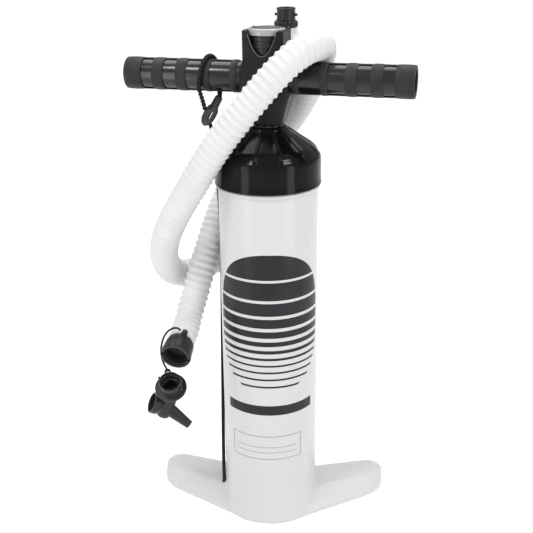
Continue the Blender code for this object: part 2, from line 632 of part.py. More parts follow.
def leash_hook():
    place = framed(HOOK_AXIS, (1, -0.3, 0), HOOK_TOP)
    outline = [(0.0040, 0.0), (0.0040, 0.0100), (0.0068, 0.0140), (0.0068, 0.0255), (0.0020, 0.0335),
               (-0.0040, 0.0320), (-0.0068, 0.0245), (-0.0068, 0.0150), (-0.0040, 0.0100), (-0.0040, 0.0)]
    sections = [[(x, y, z) for x, z in outline] for y in (-0.0021, 0.0021)]
    body = loft("leash_hook", BLACK_MATT, sections, PLUNGER)
    body.matrix_local = place
    eye = box("hook_eye", (-0.0038, -0.01, 0.0155), (0.0038, 0.01, 0.0250), PLUNGER)
    eye.matrix_local = place
    cut(body, eye)


def leash_loop():
    """Cord from the hook's top, round the back and over the left grip, and down to the hook's eye."""
    ring_r = (SLEEVE_R + GAP + LEASH_R) * 1.05
    frame = Matrix.Rotation(HANDLE_TURN, 4, "Z")
    points = []
    steps = 15
    for k in range(steps + 1):
        part = k / steps
        turn = math.radians(-80 + 305 * part)
        s = LEASH_GRIP_AT + 0.0165 * (1 - part)
        points.append(frame @ Vector((s, ring_r * math.cos(turn), HANDLE_Z + ring_r * math.sin(turn))))
    start = [HOOK_TOP - HOOK_AXIS * 0.0022, HOOK_TOP - HOOK_AXIS * 0.0040]
    end = [Vector((-0.0700, -0.0010, 0.4980)), Vector((-0.0672, 0.0020, 0.4840))]
    route = [tuple(p * 1000) for p in start + points + end]
    tube("leash_loop", CORD, even_points(smooth_route(route), 0.0050), LEASH_R, 2, PLUNGER)


barrel()
cap_parts()
piston_parts()
hub()
gauge()
outlet()
grips()
hose()
hose_plug()
hose_connector()
adapters()
tether()
leash_cord()
leash_hook()
leash_loop()
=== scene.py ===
"""Looks of a stand-up manual air pump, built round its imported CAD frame.

Metres, +Z up, with the wings of the foot along X.
"""

import json
import math

import bmesh
import bpy
from mathutils import Matrix, Vector
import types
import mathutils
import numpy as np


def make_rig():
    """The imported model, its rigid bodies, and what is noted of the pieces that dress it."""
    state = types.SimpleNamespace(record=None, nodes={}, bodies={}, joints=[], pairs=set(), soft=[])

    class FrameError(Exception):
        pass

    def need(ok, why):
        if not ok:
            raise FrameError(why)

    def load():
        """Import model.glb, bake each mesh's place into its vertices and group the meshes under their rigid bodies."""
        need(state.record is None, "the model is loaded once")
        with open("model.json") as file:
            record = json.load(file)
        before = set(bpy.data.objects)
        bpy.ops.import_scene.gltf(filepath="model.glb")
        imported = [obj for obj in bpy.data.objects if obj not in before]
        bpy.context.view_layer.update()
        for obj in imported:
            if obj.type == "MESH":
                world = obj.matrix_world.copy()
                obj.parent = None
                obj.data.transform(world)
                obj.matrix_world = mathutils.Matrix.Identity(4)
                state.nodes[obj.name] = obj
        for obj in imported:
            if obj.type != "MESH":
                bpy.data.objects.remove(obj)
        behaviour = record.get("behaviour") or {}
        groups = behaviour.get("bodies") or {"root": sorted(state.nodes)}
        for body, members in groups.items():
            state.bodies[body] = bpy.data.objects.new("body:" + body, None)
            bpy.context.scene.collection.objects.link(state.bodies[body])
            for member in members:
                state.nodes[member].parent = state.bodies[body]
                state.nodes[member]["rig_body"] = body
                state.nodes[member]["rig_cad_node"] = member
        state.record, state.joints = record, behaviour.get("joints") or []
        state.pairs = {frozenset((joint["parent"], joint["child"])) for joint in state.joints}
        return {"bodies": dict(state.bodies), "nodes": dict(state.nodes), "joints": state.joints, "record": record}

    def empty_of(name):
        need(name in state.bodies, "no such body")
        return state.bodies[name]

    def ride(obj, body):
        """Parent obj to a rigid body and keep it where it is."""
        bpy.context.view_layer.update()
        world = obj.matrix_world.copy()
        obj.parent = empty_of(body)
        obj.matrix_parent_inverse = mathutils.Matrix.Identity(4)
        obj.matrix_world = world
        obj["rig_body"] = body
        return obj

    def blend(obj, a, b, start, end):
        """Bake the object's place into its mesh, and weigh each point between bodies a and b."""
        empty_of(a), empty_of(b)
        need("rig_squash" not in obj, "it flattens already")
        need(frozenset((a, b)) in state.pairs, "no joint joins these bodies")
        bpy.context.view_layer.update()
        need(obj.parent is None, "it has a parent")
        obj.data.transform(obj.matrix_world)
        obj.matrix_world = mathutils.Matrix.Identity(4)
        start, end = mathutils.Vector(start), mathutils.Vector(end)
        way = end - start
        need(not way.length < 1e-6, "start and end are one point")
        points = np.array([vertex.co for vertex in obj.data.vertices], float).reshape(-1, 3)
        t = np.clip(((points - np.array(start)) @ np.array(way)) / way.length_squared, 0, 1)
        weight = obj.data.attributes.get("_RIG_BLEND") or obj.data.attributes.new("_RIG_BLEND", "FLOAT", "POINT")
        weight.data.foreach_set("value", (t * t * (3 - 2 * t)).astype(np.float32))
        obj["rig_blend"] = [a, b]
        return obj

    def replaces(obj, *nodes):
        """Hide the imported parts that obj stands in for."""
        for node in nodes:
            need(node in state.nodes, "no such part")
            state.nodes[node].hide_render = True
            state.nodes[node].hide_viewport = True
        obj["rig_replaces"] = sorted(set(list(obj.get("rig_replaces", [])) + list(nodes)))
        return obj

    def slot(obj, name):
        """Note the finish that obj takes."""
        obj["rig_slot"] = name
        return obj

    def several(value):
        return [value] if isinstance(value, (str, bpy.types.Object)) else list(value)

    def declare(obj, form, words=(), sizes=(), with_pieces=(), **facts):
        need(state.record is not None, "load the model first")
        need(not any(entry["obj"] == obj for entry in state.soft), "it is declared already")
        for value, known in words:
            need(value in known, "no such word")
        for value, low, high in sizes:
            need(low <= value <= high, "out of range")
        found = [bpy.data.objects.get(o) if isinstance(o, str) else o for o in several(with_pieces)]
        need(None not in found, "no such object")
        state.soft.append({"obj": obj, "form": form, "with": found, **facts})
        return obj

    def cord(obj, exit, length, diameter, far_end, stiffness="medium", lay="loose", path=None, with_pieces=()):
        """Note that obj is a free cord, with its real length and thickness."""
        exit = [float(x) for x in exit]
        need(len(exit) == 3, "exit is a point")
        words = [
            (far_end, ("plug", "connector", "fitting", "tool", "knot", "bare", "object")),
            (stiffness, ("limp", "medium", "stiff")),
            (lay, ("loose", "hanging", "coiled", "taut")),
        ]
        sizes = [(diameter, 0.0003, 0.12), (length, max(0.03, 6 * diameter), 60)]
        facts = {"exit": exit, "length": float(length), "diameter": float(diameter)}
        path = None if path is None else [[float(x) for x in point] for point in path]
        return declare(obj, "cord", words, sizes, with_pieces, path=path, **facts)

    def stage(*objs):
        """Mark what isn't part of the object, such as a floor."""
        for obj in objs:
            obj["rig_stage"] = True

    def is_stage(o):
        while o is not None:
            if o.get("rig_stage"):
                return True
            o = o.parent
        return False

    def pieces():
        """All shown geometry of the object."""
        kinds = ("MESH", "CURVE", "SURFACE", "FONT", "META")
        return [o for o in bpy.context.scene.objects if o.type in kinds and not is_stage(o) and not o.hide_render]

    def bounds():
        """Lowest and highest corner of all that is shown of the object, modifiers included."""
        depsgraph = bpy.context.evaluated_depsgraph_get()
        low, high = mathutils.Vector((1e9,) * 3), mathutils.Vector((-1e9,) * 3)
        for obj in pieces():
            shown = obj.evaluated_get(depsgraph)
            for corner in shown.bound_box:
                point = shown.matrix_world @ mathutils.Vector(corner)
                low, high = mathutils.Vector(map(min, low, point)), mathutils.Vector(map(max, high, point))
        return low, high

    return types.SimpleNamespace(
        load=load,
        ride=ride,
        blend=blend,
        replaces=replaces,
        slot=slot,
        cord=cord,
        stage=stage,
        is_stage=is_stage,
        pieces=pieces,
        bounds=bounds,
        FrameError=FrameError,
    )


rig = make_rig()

for old in list(bpy.data.objects):
    bpy.data.objects.remove(old, do_unlink=True)
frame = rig.load()
CAD_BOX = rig.bounds()
ROOT, PLUNGER = "barrel_body", "plunger"

GAP = 0.0003
BARREL_R = 0.0550
BORE_R = 0.0520
FLOOR_TOP = 0.0100
FOOT_TOP = 0.0900                # height where the foot moulding hands over to the plain barrel
WING_REACH = 0.1390
HANDLE_TURN = math.radians(-10.8)
HANDLE_Z = 0.5193
HOUSING_TOP = 0.5685
LENS_SEAT = 0.5634
GAUGE_SEAT = 0.5400
SLEEVE_R = 0.0170
CAMERA_TURN = math.radians(4.5)  # the camera stands this far round from the front of the foot, towards +X
HOSE_D = 0.0320
RIB_PITCH = 0.0076
LEASH_D = 0.0042
TETHER_D = 0.0024
LEASH_HOLE = (-0.0574, -0.0095)   # where the leash comes up through the foot
PIN_TURNS = (160, 340)            # degrees round a bayonet end where its pins stand
RIB_HEIGHT = 0.0017
KNOT_PITCH = 0.0040
STRAND_STEP = 0.0010


# ---------------------------------------------------------------- camera

def make_camera():
    data = bpy.data.cameras.new("camera")
    data.sensor_width = 36.0
    data.lens = 62.07
    data.shift_x = -0.0047
    data.shift_y = 0.0088
    camera = bpy.data.objects.new("camera", data)
    bpy.context.scene.collection.objects.link(camera)
    forward = Vector((-0.0732, 0.9301, -0.3600)).normalized()
    right = forward.cross(Vector((0, 0, 1))).normalized()
    up = right.cross(forward)
    roll = math.radians(-0.57)
    right, up = math.cos(roll) * right + math.sin(roll) * up, math.cos(roll) * up - math.sin(roll) * right
    turn = Matrix((right, up, -forward)).transposed().to_4x4()
    camera.matrix_world = Matrix.Translation((0.0767, -0.9740, 0.6770)) @ turn
    bpy.context.scene.camera = camera


make_camera()


# ---------------------------------------------------------------- materials

def shader_of(name):
    mat = bpy.data.materials.new(name)
    mat.use_nodes = True
    return mat, mat.node_tree, mat.node_tree.nodes["Principled BSDF"]


def noise(tree, scale, detail=3.0, stretch=(1, 1, 1)):
    """Noise in the piece's own coordinates, in features per metre."""
    place = tree.nodes.new("ShaderNodeTexCoord")
    mapping = tree.nodes.new("ShaderNodeMapping")
    mapping.inputs["Scale"].default_value = stretch
    texture = tree.nodes.new("ShaderNodeTexNoise")
    texture.inputs["Scale"].default_value = scale
    texture.inputs["Detail"].default_value = detail
    tree.links.new(place.outputs["Object"], mapping.inputs["Vector"])
    tree.links.new(mapping.outputs["Vector"], texture.inputs["Vector"])
    return texture.outputs["Fac"]


def spread(tree, value, low, high, edges=(0.3, 0.7)):
    """Map a 0 to 1 value between edges onto low to high."""
    node = tree.nodes.new("ShaderNodeMapRange")
    node.inputs["From Min"].default_value = edges[0]
    node.inputs["From Max"].default_value = edges[1]
    node.inputs["To Min"].default_value = low
    node.inputs["To Max"].default_value = high
    tree.links.new(value, node.inputs["Value"])
    return node.outputs["Result"]


def two_colours(tree, value, dark, light, edges=(0.3, 0.7)):
    ramp = tree.nodes.new("ShaderNodeValToRGB")
    ramp.color_ramp.elements[0].position = edges[0]
    ramp.color_ramp.elements[0].color = (*dark, 1)
    ramp.color_ramp.elements[1].position = edges[1]
    ramp.color_ramp.elements[1].color = (*light, 1)
    tree.links.new(value, ramp.inputs["Fac"])
    return ramp.outputs["Color"]


def bump(tree, shader, height, distance, strength=1.0):
    node = tree.nodes.new("ShaderNodeBump")
    node.inputs["Distance"].default_value = distance
    node.inputs["Strength"].default_value = strength
    tree.links.new(height, node.inputs["Height"])
    tree.links.new(node.outputs["Normal"], shader.inputs["Normal"])


def moulding(name, dark, light, rough, grain, depth, level=0.5, subsurface=0.0, patch=35.0):
    """Moulded plastic: slow colour drift, uneven gloss and a fine surface grain."""
    mat, tree, shader = shader_of(name)
    slow = noise(tree, patch, 4.0)
    fine = noise(tree, grain, 2.0)
    tree.links.new(two_colours(tree, slow, dark, light), shader.inputs["Base Color"])
    tree.links.new(spread(tree, noise(tree, patch * 3, 5.0), *rough), shader.inputs["Roughness"])
    bump(tree, shader, fine, depth)
    shader.inputs["IOR"].default_value = 1.48
    shader.inputs["Specular IOR Level"].default_value = level
    shader.inputs["Subsurface Weight"].default_value = subsurface
    shader.inputs["Subsurface Radius"].default_value = (0.004, 0.004, 0.004)
    return mat


def metal(name, dark, light, rough, stretch, scale=300.0):
    """Drawn or turned metal with fine lines along or across it."""
    mat, tree, shader = shader_of(name)
    lines = noise(tree, scale, 4.0, stretch)
    tree.links.new(two_colours(tree, lines, dark, light), shader.inputs["Base Color"])
    tree.links.new(spread(tree, lines, *rough), shader.inputs["Roughness"])
    bump(tree, shader, lines, 0.00002)
    shader.inputs["Metallic"].default_value = 1.0
    return mat


def braid(name, dark, light, around, pitch):
    """Woven cover: two sets of crossing threads, laid out by each tube's own 'strand' attribute."""
    mat, tree, shader = shader_of(name)
    strand = tree.nodes.new("ShaderNodeAttribute")
    strand.attribute_name = "strand"
    waves = []
    for side in (1, -1):
        mapping = tree.nodes.new("ShaderNodeMapping")
        mapping.inputs["Rotation"].default_value = (0, 0, side * math.radians(45))
        mapping.inputs["Scale"].default_value = (around, 1 / pitch, 1)
        tree.links.new(strand.outputs["Vector"], mapping.inputs["Vector"])
        wave = tree.nodes.new("ShaderNodeTexWave")
        wave.inputs["Scale"].default_value = 0.5
        wave.inputs["Distortion"].default_value = 0.4
        tree.links.new(mapping.outputs["Vector"], wave.inputs["Vector"])
        waves.append(wave.outputs["Fac"])
    weave = tree.nodes.new("ShaderNodeMath")
    weave.operation = "MAXIMUM"
    tree.links.new(waves[0], weave.inputs[0])
    tree.links.new(waves[1], weave.inputs[1])
    tree.links.new(two_colours(tree, weave.outputs[0], dark, light, (0.1, 0.9)), shader.inputs["Base Color"])
    bump(tree, shader, weave.outputs[0], 0.0003)
    shader.inputs["Roughness"].default_value = 0.75
    shader.inputs["Specular IOR Level"].default_value = 0.25
    return mat


def clear_plastic(rim_from, rim_to):
    """Clear plastic over the dial that turns milky towards the moulded rim."""
    mat, tree, shader = shader_of("clear_lens")
    tree.links.new(spread(tree, noise(tree, 120.0), 0.04, 0.08), shader.inputs["Roughness"])
    place = tree.nodes.new("ShaderNodeTexCoord")
    flat = tree.nodes.new("ShaderNodeVectorMath")
    flat.operation = "MULTIPLY"
    flat.inputs[1].default_value = (1, 1, 0)
    tree.links.new(place.outputs["Object"], flat.inputs[0])
    radius = tree.nodes.new("ShaderNodeVectorMath")
    radius.operation = "LENGTH"
    tree.links.new(flat.outputs["Vector"], radius.inputs[0])
    milk = spread(tree, radius.outputs["Value"], 0.22, 0.90, (rim_from, rim_to))
    tree.links.new(milk, shader.inputs["Alpha"])
    shader.inputs["Base Color"].default_value = (0.36, 0.365, 0.37, 1)
    shader.inputs["Specular IOR Level"].default_value = 0.8
    return mat


WHITE = moulding("white_moulding", (0.560, 0.562, 0.565), (0.570, 0.571, 0.573), (0.26, 0.30),
                 900.0, 0.00002, 0.45, 0.0, 12.0)
HOSE_WHITE = moulding("hose_white", (0.640, 0.643, 0.647), (0.675, 0.675, 0.673), (0.42, 0.52),
                      700.0, 0.00004, 0.35, 0.04)
BLACK_GLOSS = moulding("black_gloss", (0.003, 0.003, 0.0035), (0.005, 0.005, 0.0055), (0.09, 0.14),
                       500.0, 0.00002, 0.15)
HUB_BLACK = moulding("hub_black", (0.012, 0.012, 0.0125), (0.022, 0.022, 0.0225), (0.30, 0.42),
                     1500.0, 0.00006, 0.09)
BLACK_TUBE = moulding("black_tube", (0.003, 0.003, 0.0035), (0.006, 0.006, 0.0065), (0.17, 0.24),
                      500.0, 0.00003, 0.55)
BLACK_SATIN = moulding("black_satin", (0.017, 0.017, 0.018), (0.031, 0.031, 0.032), (0.22, 0.34),
                       1400.0, 0.00005, 0.30)
RUBBER = moulding("grip_rubber", (0.010, 0.010, 0.011), (0.022, 0.022, 0.023), (0.50, 0.68),
                  2200.0, 0.0001, 0.35)
SEAL = moulding("seal_rubber", (0.016, 0.016, 0.016), (0.030, 0.030, 0.029), (0.6, 0.8),
                1800.0, 0.00008, 0.35)
# Lighter grey for the thin lip round the hub's window: a painted highlight along the moulded edge.
EDGE_HIGHLIGHT = moulding("painted_edge_highlight", (0.10, 0.10, 0.10), (0.16, 0.16, 0.16), (0.2, 0.3), 900.0, 0.00002)
PRINT = moulding("print_grey", (0.013, 0.014, 0.016), (0.020, 0.021, 0.024), (0.24, 0.36),
                 900.0, 0.00002, 0.22)
PRINT_FINE = moulding("print_line", (0.055, 0.055, 0.058), (0.08, 0.08, 0.085), (0.3, 0.4),
                      900.0, 0.00002)
DIAL = moulding("dial_white", (0.82, 0.82, 0.81), (0.88, 0.88, 0.87), (0.4, 0.5), 800.0, 0.00002)
RED = moulding("needle_red", (0.5, 0.02, 0.015), (0.62, 0.03, 0.02), (0.3, 0.4), 800.0, 0.00002)
ALLOY = metal("rod_alloy", (0.60, 0.60, 0.62), (0.74, 0.74, 0.76), (0.18, 0.32), (1, 1, 0.04))
STEEL = metal("steel", (0.42, 0.42, 0.43), (0.60, 0.60, 0.61), (0.22, 0.40), (0.3, 0.3, 1))
DARK_STEEL = metal("dark_steel", (0.10, 0.10, 0.10), (0.20, 0.20, 0.20), (0.3, 0.45), (0.3, 0.3, 1))
CORD = braid("braided_cord", (0.002, 0.002, 0.002), (0.018, 0.018, 0.019), 8.0, 0.0012)
CLEAR = clear_plastic(0.0166, 0.0172)


# ---------------------------------------------------------------- mesh helpers

def along(axis, at=(0, 0, 0)):
    """Matrix with local +Z along axis and the local origin at the point at."""
    return Matrix.Translation(Vector(at)) @ Vector(axis).to_track_quat("Z", "Y").to_matrix().to_4x4()


def framed(axis, towards, at):
    """Matrix with local Z along axis and local X as near as can be to towards."""
    z = Vector(axis).normalized()
    x = (Vector(towards) - z * Vector(towards).dot(z)).normalized()
    turn = Matrix((x, z.cross(x), z)).transposed().to_4x4()
    return Matrix.Translation(Vector(at)) @ turn


HANDLE = Matrix.Rotation(HANDLE_TURN, 4, "Z")


def to_mesh(name, verts, faces, place=None):
    mesh = bpy.data.meshes.new(name)
    mesh.from_pydata([tuple(v) for v in verts], [], faces)
    bm = bmesh.new()
    bm.from_mesh(mesh)
    bmesh.ops.recalc_face_normals(bm, faces=bm.faces)
    bm.to_mesh(mesh)
    bm.free()
    if place is not None:
        mesh.transform(place)
    return mesh


def piece(name, mesh, mat, body=None, replaces=(), slot=None, sharp=35):
    """Link a mesh as a shown piece that rides on a body and stands for CAD nodes."""
    mesh.name = name
    mesh.shade_smooth()
    mesh.set_sharp_from_angle(angle=math.radians(sharp))
    mesh.materials.clear()
    mesh.materials.append(mat)
    obj = bpy.data.objects.new(name, mesh)
    bpy.context.scene.collection.objects.link(obj)
    if body:
        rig.ride(obj, body)
    if replaces:
        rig.replaces(obj, *replaces)
    if slot:
        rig.slot(obj, slot)
    return obj


def spin(profile, segments=64, place=None, shape=None, closed=True):
    """Revolve (radius, height) points about local Z. shape(k, turn, r, z) may move a point."""
    verts, faces = [], []
    for k, (r, z) in enumerate(profile):
        for i in range(segments):
            turn = math.tau * i / segments
            rr, zz = shape(k, turn, r, z) if shape else (r, z)
            verts.append((rr * math.cos(turn), rr * math.sin(turn), zz))
    rows = len(profile)
    for k in range(rows if closed else rows - 1):
        a, b = k * segments, ((k + 1) % rows) * segments
        for i in range(segments):
            j = (i + 1) % segments
            faces.append((a + i, a + j, b + j, b + i))
    return merged(to_mesh("spin", verts, faces, place))


def merged(mesh, distance=1e-6):
    bm = bmesh.new()
    bm.from_mesh(mesh)
    bmesh.ops.remove_doubles(bm, verts=bm.verts, dist=distance)
    bmesh.ops.recalc_face_normals(bm, faces=bm.faces)
    bm.to_mesh(mesh)
    bm.free()
    return mesh


def rounded(profile, radius=0.0008, steps=3, closed=True):
    """Round the corners of a (radius, height) outline with short arcs, but not on the axis."""
    result = []
    count = len(profile)
    for k in range(count):
        p = Vector(profile[k])
        before, after = Vector(profile[k - 1]) - p, Vector(profile[(k + 1) % count]) - p
        if p.x < 1e-6 or (not closed and k in (0, count - 1)):
            result.append(tuple(p))
            continue
        size = min(radius, before.length * 0.45, after.length * 0.45)
        a, b = p + before.normalized() * size, p + after.normalized() * size
        for i in range(steps + 1):
            t = i / steps
            result.append(tuple((1 - t) ** 2 * a + 2 * t * (1 - t) * p + t * t * b))
    return result


def loft(sections, place=None):
    """Join closed rings of points and cap both ends."""
    count = len(sections[0])
    verts = [p for section in sections for p in section]
    faces = []
    for k in range(len(sections) - 1):
        a, b = k * count, (k + 1) * count
        for i in range(count):
            j = (i + 1) % count
            faces.append((a + i, a + j, b + j, b + i))
    faces.append(tuple(range(count)))
    faces.append(tuple(range((len(sections) - 1) * count, len(sections) * count)))
    return to_mesh("loft", verts, faces, place)


def bar(radius, length, place=None, segments=48, start=0.0):
    return spin([(0, start), (radius, start), (radius, length), (0, length)], segments, place)


def rounded_rectangle(half_s, half_o, corner, z, steps=8):
    points = []
    for quarter in range(4):
        sign_s = 1 if quarter in (0, 3) else -1
        sign_o = 1 if quarter in (0, 1) else -1
        for k in range(steps + 1):
            turn = math.pi / 2 * (quarter + k / steps)
            s = sign_s * (half_s - corner) + corner * math.cos(turn)
            o = sign_o * (half_o - corner) + corner * math.sin(turn)
            points.append((s, o, z))
    return points


def joined(*meshes):
    """One mesh of several, left as separate shells."""
    bm = bmesh.new()
    for mesh in meshes:
        bm.from_mesh(mesh)
    result = bpy.data.meshes.new("joined")
    bm.to_mesh(result)
    bm.free()
    return result


def applied(mesh, *modifiers):
    """The mesh after modifiers, each (type, {setting: value}). A mesh value becomes a tool object."""
    work = bpy.data.objects.new("work", mesh)
    bpy.context.scene.collection.objects.link(work)
    helpers = []
    for kind, settings in modifiers:
        modifier = work.modifiers.new(kind, kind)
        for key, value in settings.items():
            if isinstance(value, bpy.types.Mesh):
                value = bpy.data.objects.new("tool", value)
                bpy.context.scene.collection.objects.link(value)
                helpers.append(value)
            setattr(modifier, key, value)
    graph = bpy.context.evaluated_depsgraph_get()
    result = bpy.data.meshes.new_from_object(work.evaluated_get(graph))
    for helper in [*helpers, work]:
        bpy.data.objects.remove(helper, do_unlink=True)
    return result


def cut(mesh, *tools):
    boolean = {"operation": "DIFFERENCE", "solver": "EXACT"}
    return applied(mesh, *[("BOOLEAN", {**boolean, "object": tool}) for tool in tools])


def moulded(meshes, voxel, rounds):
    """Fuse overlapping solids into one skin with soft corners, as from a mould."""
    return applied(joined(*meshes), ("REMESH", {"mode": "VOXEL", "voxel_size": voxel}),
                   ("SMOOTH", {"factor": 0.5, "iterations": rounds}))


def smooth_route(points, per_span=24):
    """Uniform cubic B-spline that starts and ends on the first and last points."""
    pts = [Vector(p) for p in points]
    pts = [2 * pts[0] - pts[1]] + pts + [2 * pts[-1] - pts[-2]]
    curve = []
    for i in range(len(pts) - 3):
        for k in range(per_span):
            t = k / per_span
            weights = ((1 - t) ** 3, 3 * t ** 3 - 6 * t ** 2 + 4,
                       -3 * t ** 3 + 3 * t ** 2 + 3 * t + 1, t ** 3)
            curve.append(sum((w * p for w, p in zip(weights, pts[i:i + 4])), Vector()) / 6)
    curve.append(Vector(points[-1]))
    return curve


def even_points(curve, spacing):
    lengths = [0.0]
    for a, b in zip(curve, curve[1:]):
        lengths.append(lengths[-1] + (b - a).length)
    count = max(2, round(lengths[-1] / spacing))
    result, k = [], 0
    for i in range(count + 1):
        wanted = lengths[-1] * i / count
        while k < len(lengths) - 2 and lengths[k + 1] < wanted:
            k += 1
        part = (wanted - lengths[k]) / (lengths[k + 1] - lengths[k])
        result.append(curve[k].lerp(curve[k + 1], part))
    return result


def length_of(points):
    return sum((b - a).length for a, b in zip(points, points[1:]))


def sweep(points, radius, segments=24):
    """Tube along points, with radius(s) at arc length s and a 'strand' attribute of (turn, s)."""
    verts, faces, strands = [], [], []
    tangent = (points[1] - points[0]).normalized()
    side = tangent.orthogonal().normalized()
    s = 0.0
    for k, p in enumerate(points):
        ahead = points[min(k + 1, len(points) - 1)] - points[max(k - 1, 0)]
        turn = tangent.rotation_difference(ahead.normalized())
        side = (turn @ side).normalized()
        tangent = ahead.normalized()
        across = tangent.cross(side)
        if k:
            s += (p - points[k - 1]).length
        r = radius(s)
        for i in range(segments):
            a = math.tau * i / segments
            verts.append(p + r * (side * math.cos(a) + across * math.sin(a)))
            strands.append((i / segments, s, 0))
    for k in range(len(points) - 1):
        a, b = k * segments, (k + 1) * segments
        for i in range(segments):
            j = (i + 1) % segments
            faces.append((a + i, a + j, b + j, b + i))
    faces.append(tuple(range(segments)))
    faces.append(tuple(range(len(verts) - segments, len(verts))))
    mesh = to_mesh("sweep", verts, faces)
    attribute = mesh.attributes.new("strand", "FLOAT_VECTOR", "POINT")
    attribute.data.foreach_set("vector", [c for v in strands for c in v])
    return mesh


# ---------------------------------------------------------------- hose

HOSE_ROUTE = [
    (0.017, 0.059, 0.552), (0.016, 0.061, 0.528), (0.003, 0.066, 0.492), (-0.011, 0.071, 0.456),
    (-0.01, 0.077, 0.419), (-0.011, 0.083, 0.376), (-0.022, 0.084, 0.338), (-0.04, 0.08, 0.31),
    (-0.063, 0.071, 0.291), (-0.087, 0.06, 0.279), (-0.109, 0.045, 0.276), (-0.122, 0.023, 0.292),
    (-0.122, 0.002, 0.322), (-0.111, -0.015, 0.354), (-0.093, -0.028, 0.386), (-0.075, -0.039, 0.415),
    (-0.056, -0.049, 0.446), (-0.035, -0.054, 0.475), (-0.015, -0.055, 0.499), (0.002, -0.055, 0.519),
    (0.019, -0.051, 0.537), (0.0355, -0.042, 0.5505), (0.0485, -0.025, 0.5555), (0.056, -0.003, 0.553),
    (0.057, 0.02, 0.5435), (0.052, 0.042, 0.522), (0.04, 0.061, 0.495), (0.025, 0.083, 0.465),
    (0.007, 0.105, 0.438), (-0.013, 0.118, 0.415), (-0.03, 0.114, 0.4), (-0.042, 0.1, 0.389),
    (-0.051, 0.08, 0.377), (-0.06, 0.059, 0.357), (-0.069, 0.038, 0.331), (-0.077, 0.021, 0.304),
    (-0.084, 0.01, 0.279), (-0.09, 0.004, 0.257), (-0.0945, -0.002, 0.242), (-0.0962, -0.012, 0.2325),
    (-0.0978, -0.024, 0.227)]
PLUG_AT = (0.0168, 0.0592)
CONNECTOR_AXIS = Vector((-0.137, -0.935, -0.326)).normalized()
HOSE_END = Vector(HOSE_ROUTE[-1])
CONNECTOR_BACK = HOSE_END + CONNECTOR_AXIS * 0.0105
LUG_SIDE = (0.30, 0.10, 0.75)


def make_hose():
    points = even_points(smooth_route(HOSE_ROUTE), RIB_PITCH / 8)
    total = length_of(points)

    def corrugation(s):
        """Round raised ribs with wide shallow grooves between, plain for a few millimetres at each end."""
        rib = (0.5 + 0.5 * math.cos(math.tau * s / RIB_PITCH)) ** 1.4
        fade = max(0.0, min(1.0, s / 0.006, (total - s) / 0.006))
        return HOSE_D / 2 + GAP - RIB_HEIGHT * (1 - rib * fade)

    hose = piece("hose_corrugated", sweep(points, corrugation, 32), HOSE_WHITE, PLUNGER, ["hose"],
                 "hose_white", 60)
    return hose, points


def make_plug():
    x, y = PLUG_AT
    up = Matrix.Translation((x, y, 0))
    cuff = spin(rounded([(0.0090, 0.5512), (0.0155, 0.5512), (0.0155, 0.5535), (0.0128, 0.5580),
                         (0.0122, 0.5640), (0.0090, 0.5640)], 0.0012), 48, up)
    piece("plug_cuff_white", cuff, HOSE_WHITE, PLUNGER, ["plug_cuff"], "hose_white")

    def knurl(k, turn, r, z):
        if 1 < k < 14:
            r += 0.00035 * math.cos(turn * 24)
        return r, z

    collar = spin(rounded([(0.0089, 0.5643), (0.0122, 0.5643), (0.0127, 0.5655), (0.0127, 0.5700),
                           (0.0120, 0.5710), (0.0089, 0.5710)], 0.0006), 144, up, knurl)
    piece("plug_collar_knurled", collar, BLACK_SATIN, PLUNGER, ["plug_collar"], "black_matt")
    body = spin(rounded([(0.0064, 0.5535), (0.0086, 0.5535), (0.0086, 0.5713), (0.0106, 0.5713),
                         (0.0106, 0.5728), (0.0101, 0.5731), (0.0101, 0.5826), (0.0105, 0.5829),
                         (0.0105, 0.5842), (0.0096, 0.5850), (0.0080, 0.5850), (0.0080, 0.5725),
                         (0.0064, 0.5725)], 0.0005), 64, up)
    pins = []
    for turn in PIN_TURNS:
        out = Matrix.Rotation(math.radians(turn), 4, "Z") @ Vector((1, 0, 0))
        pins.append(spin(rounded([(0, 0), (0.0016, 0), (0.0016, 0.0042), (0, 0.0042)], 0.0006), 24,
                         along(out, (x + out.x * 0.0090, y + out.y * 0.0090, 0.5775))))
    piece("hose_plug_body", joined(body, *pins), BLACK_SATIN, PLUNGER, ["hose_plug"], "black_matt")


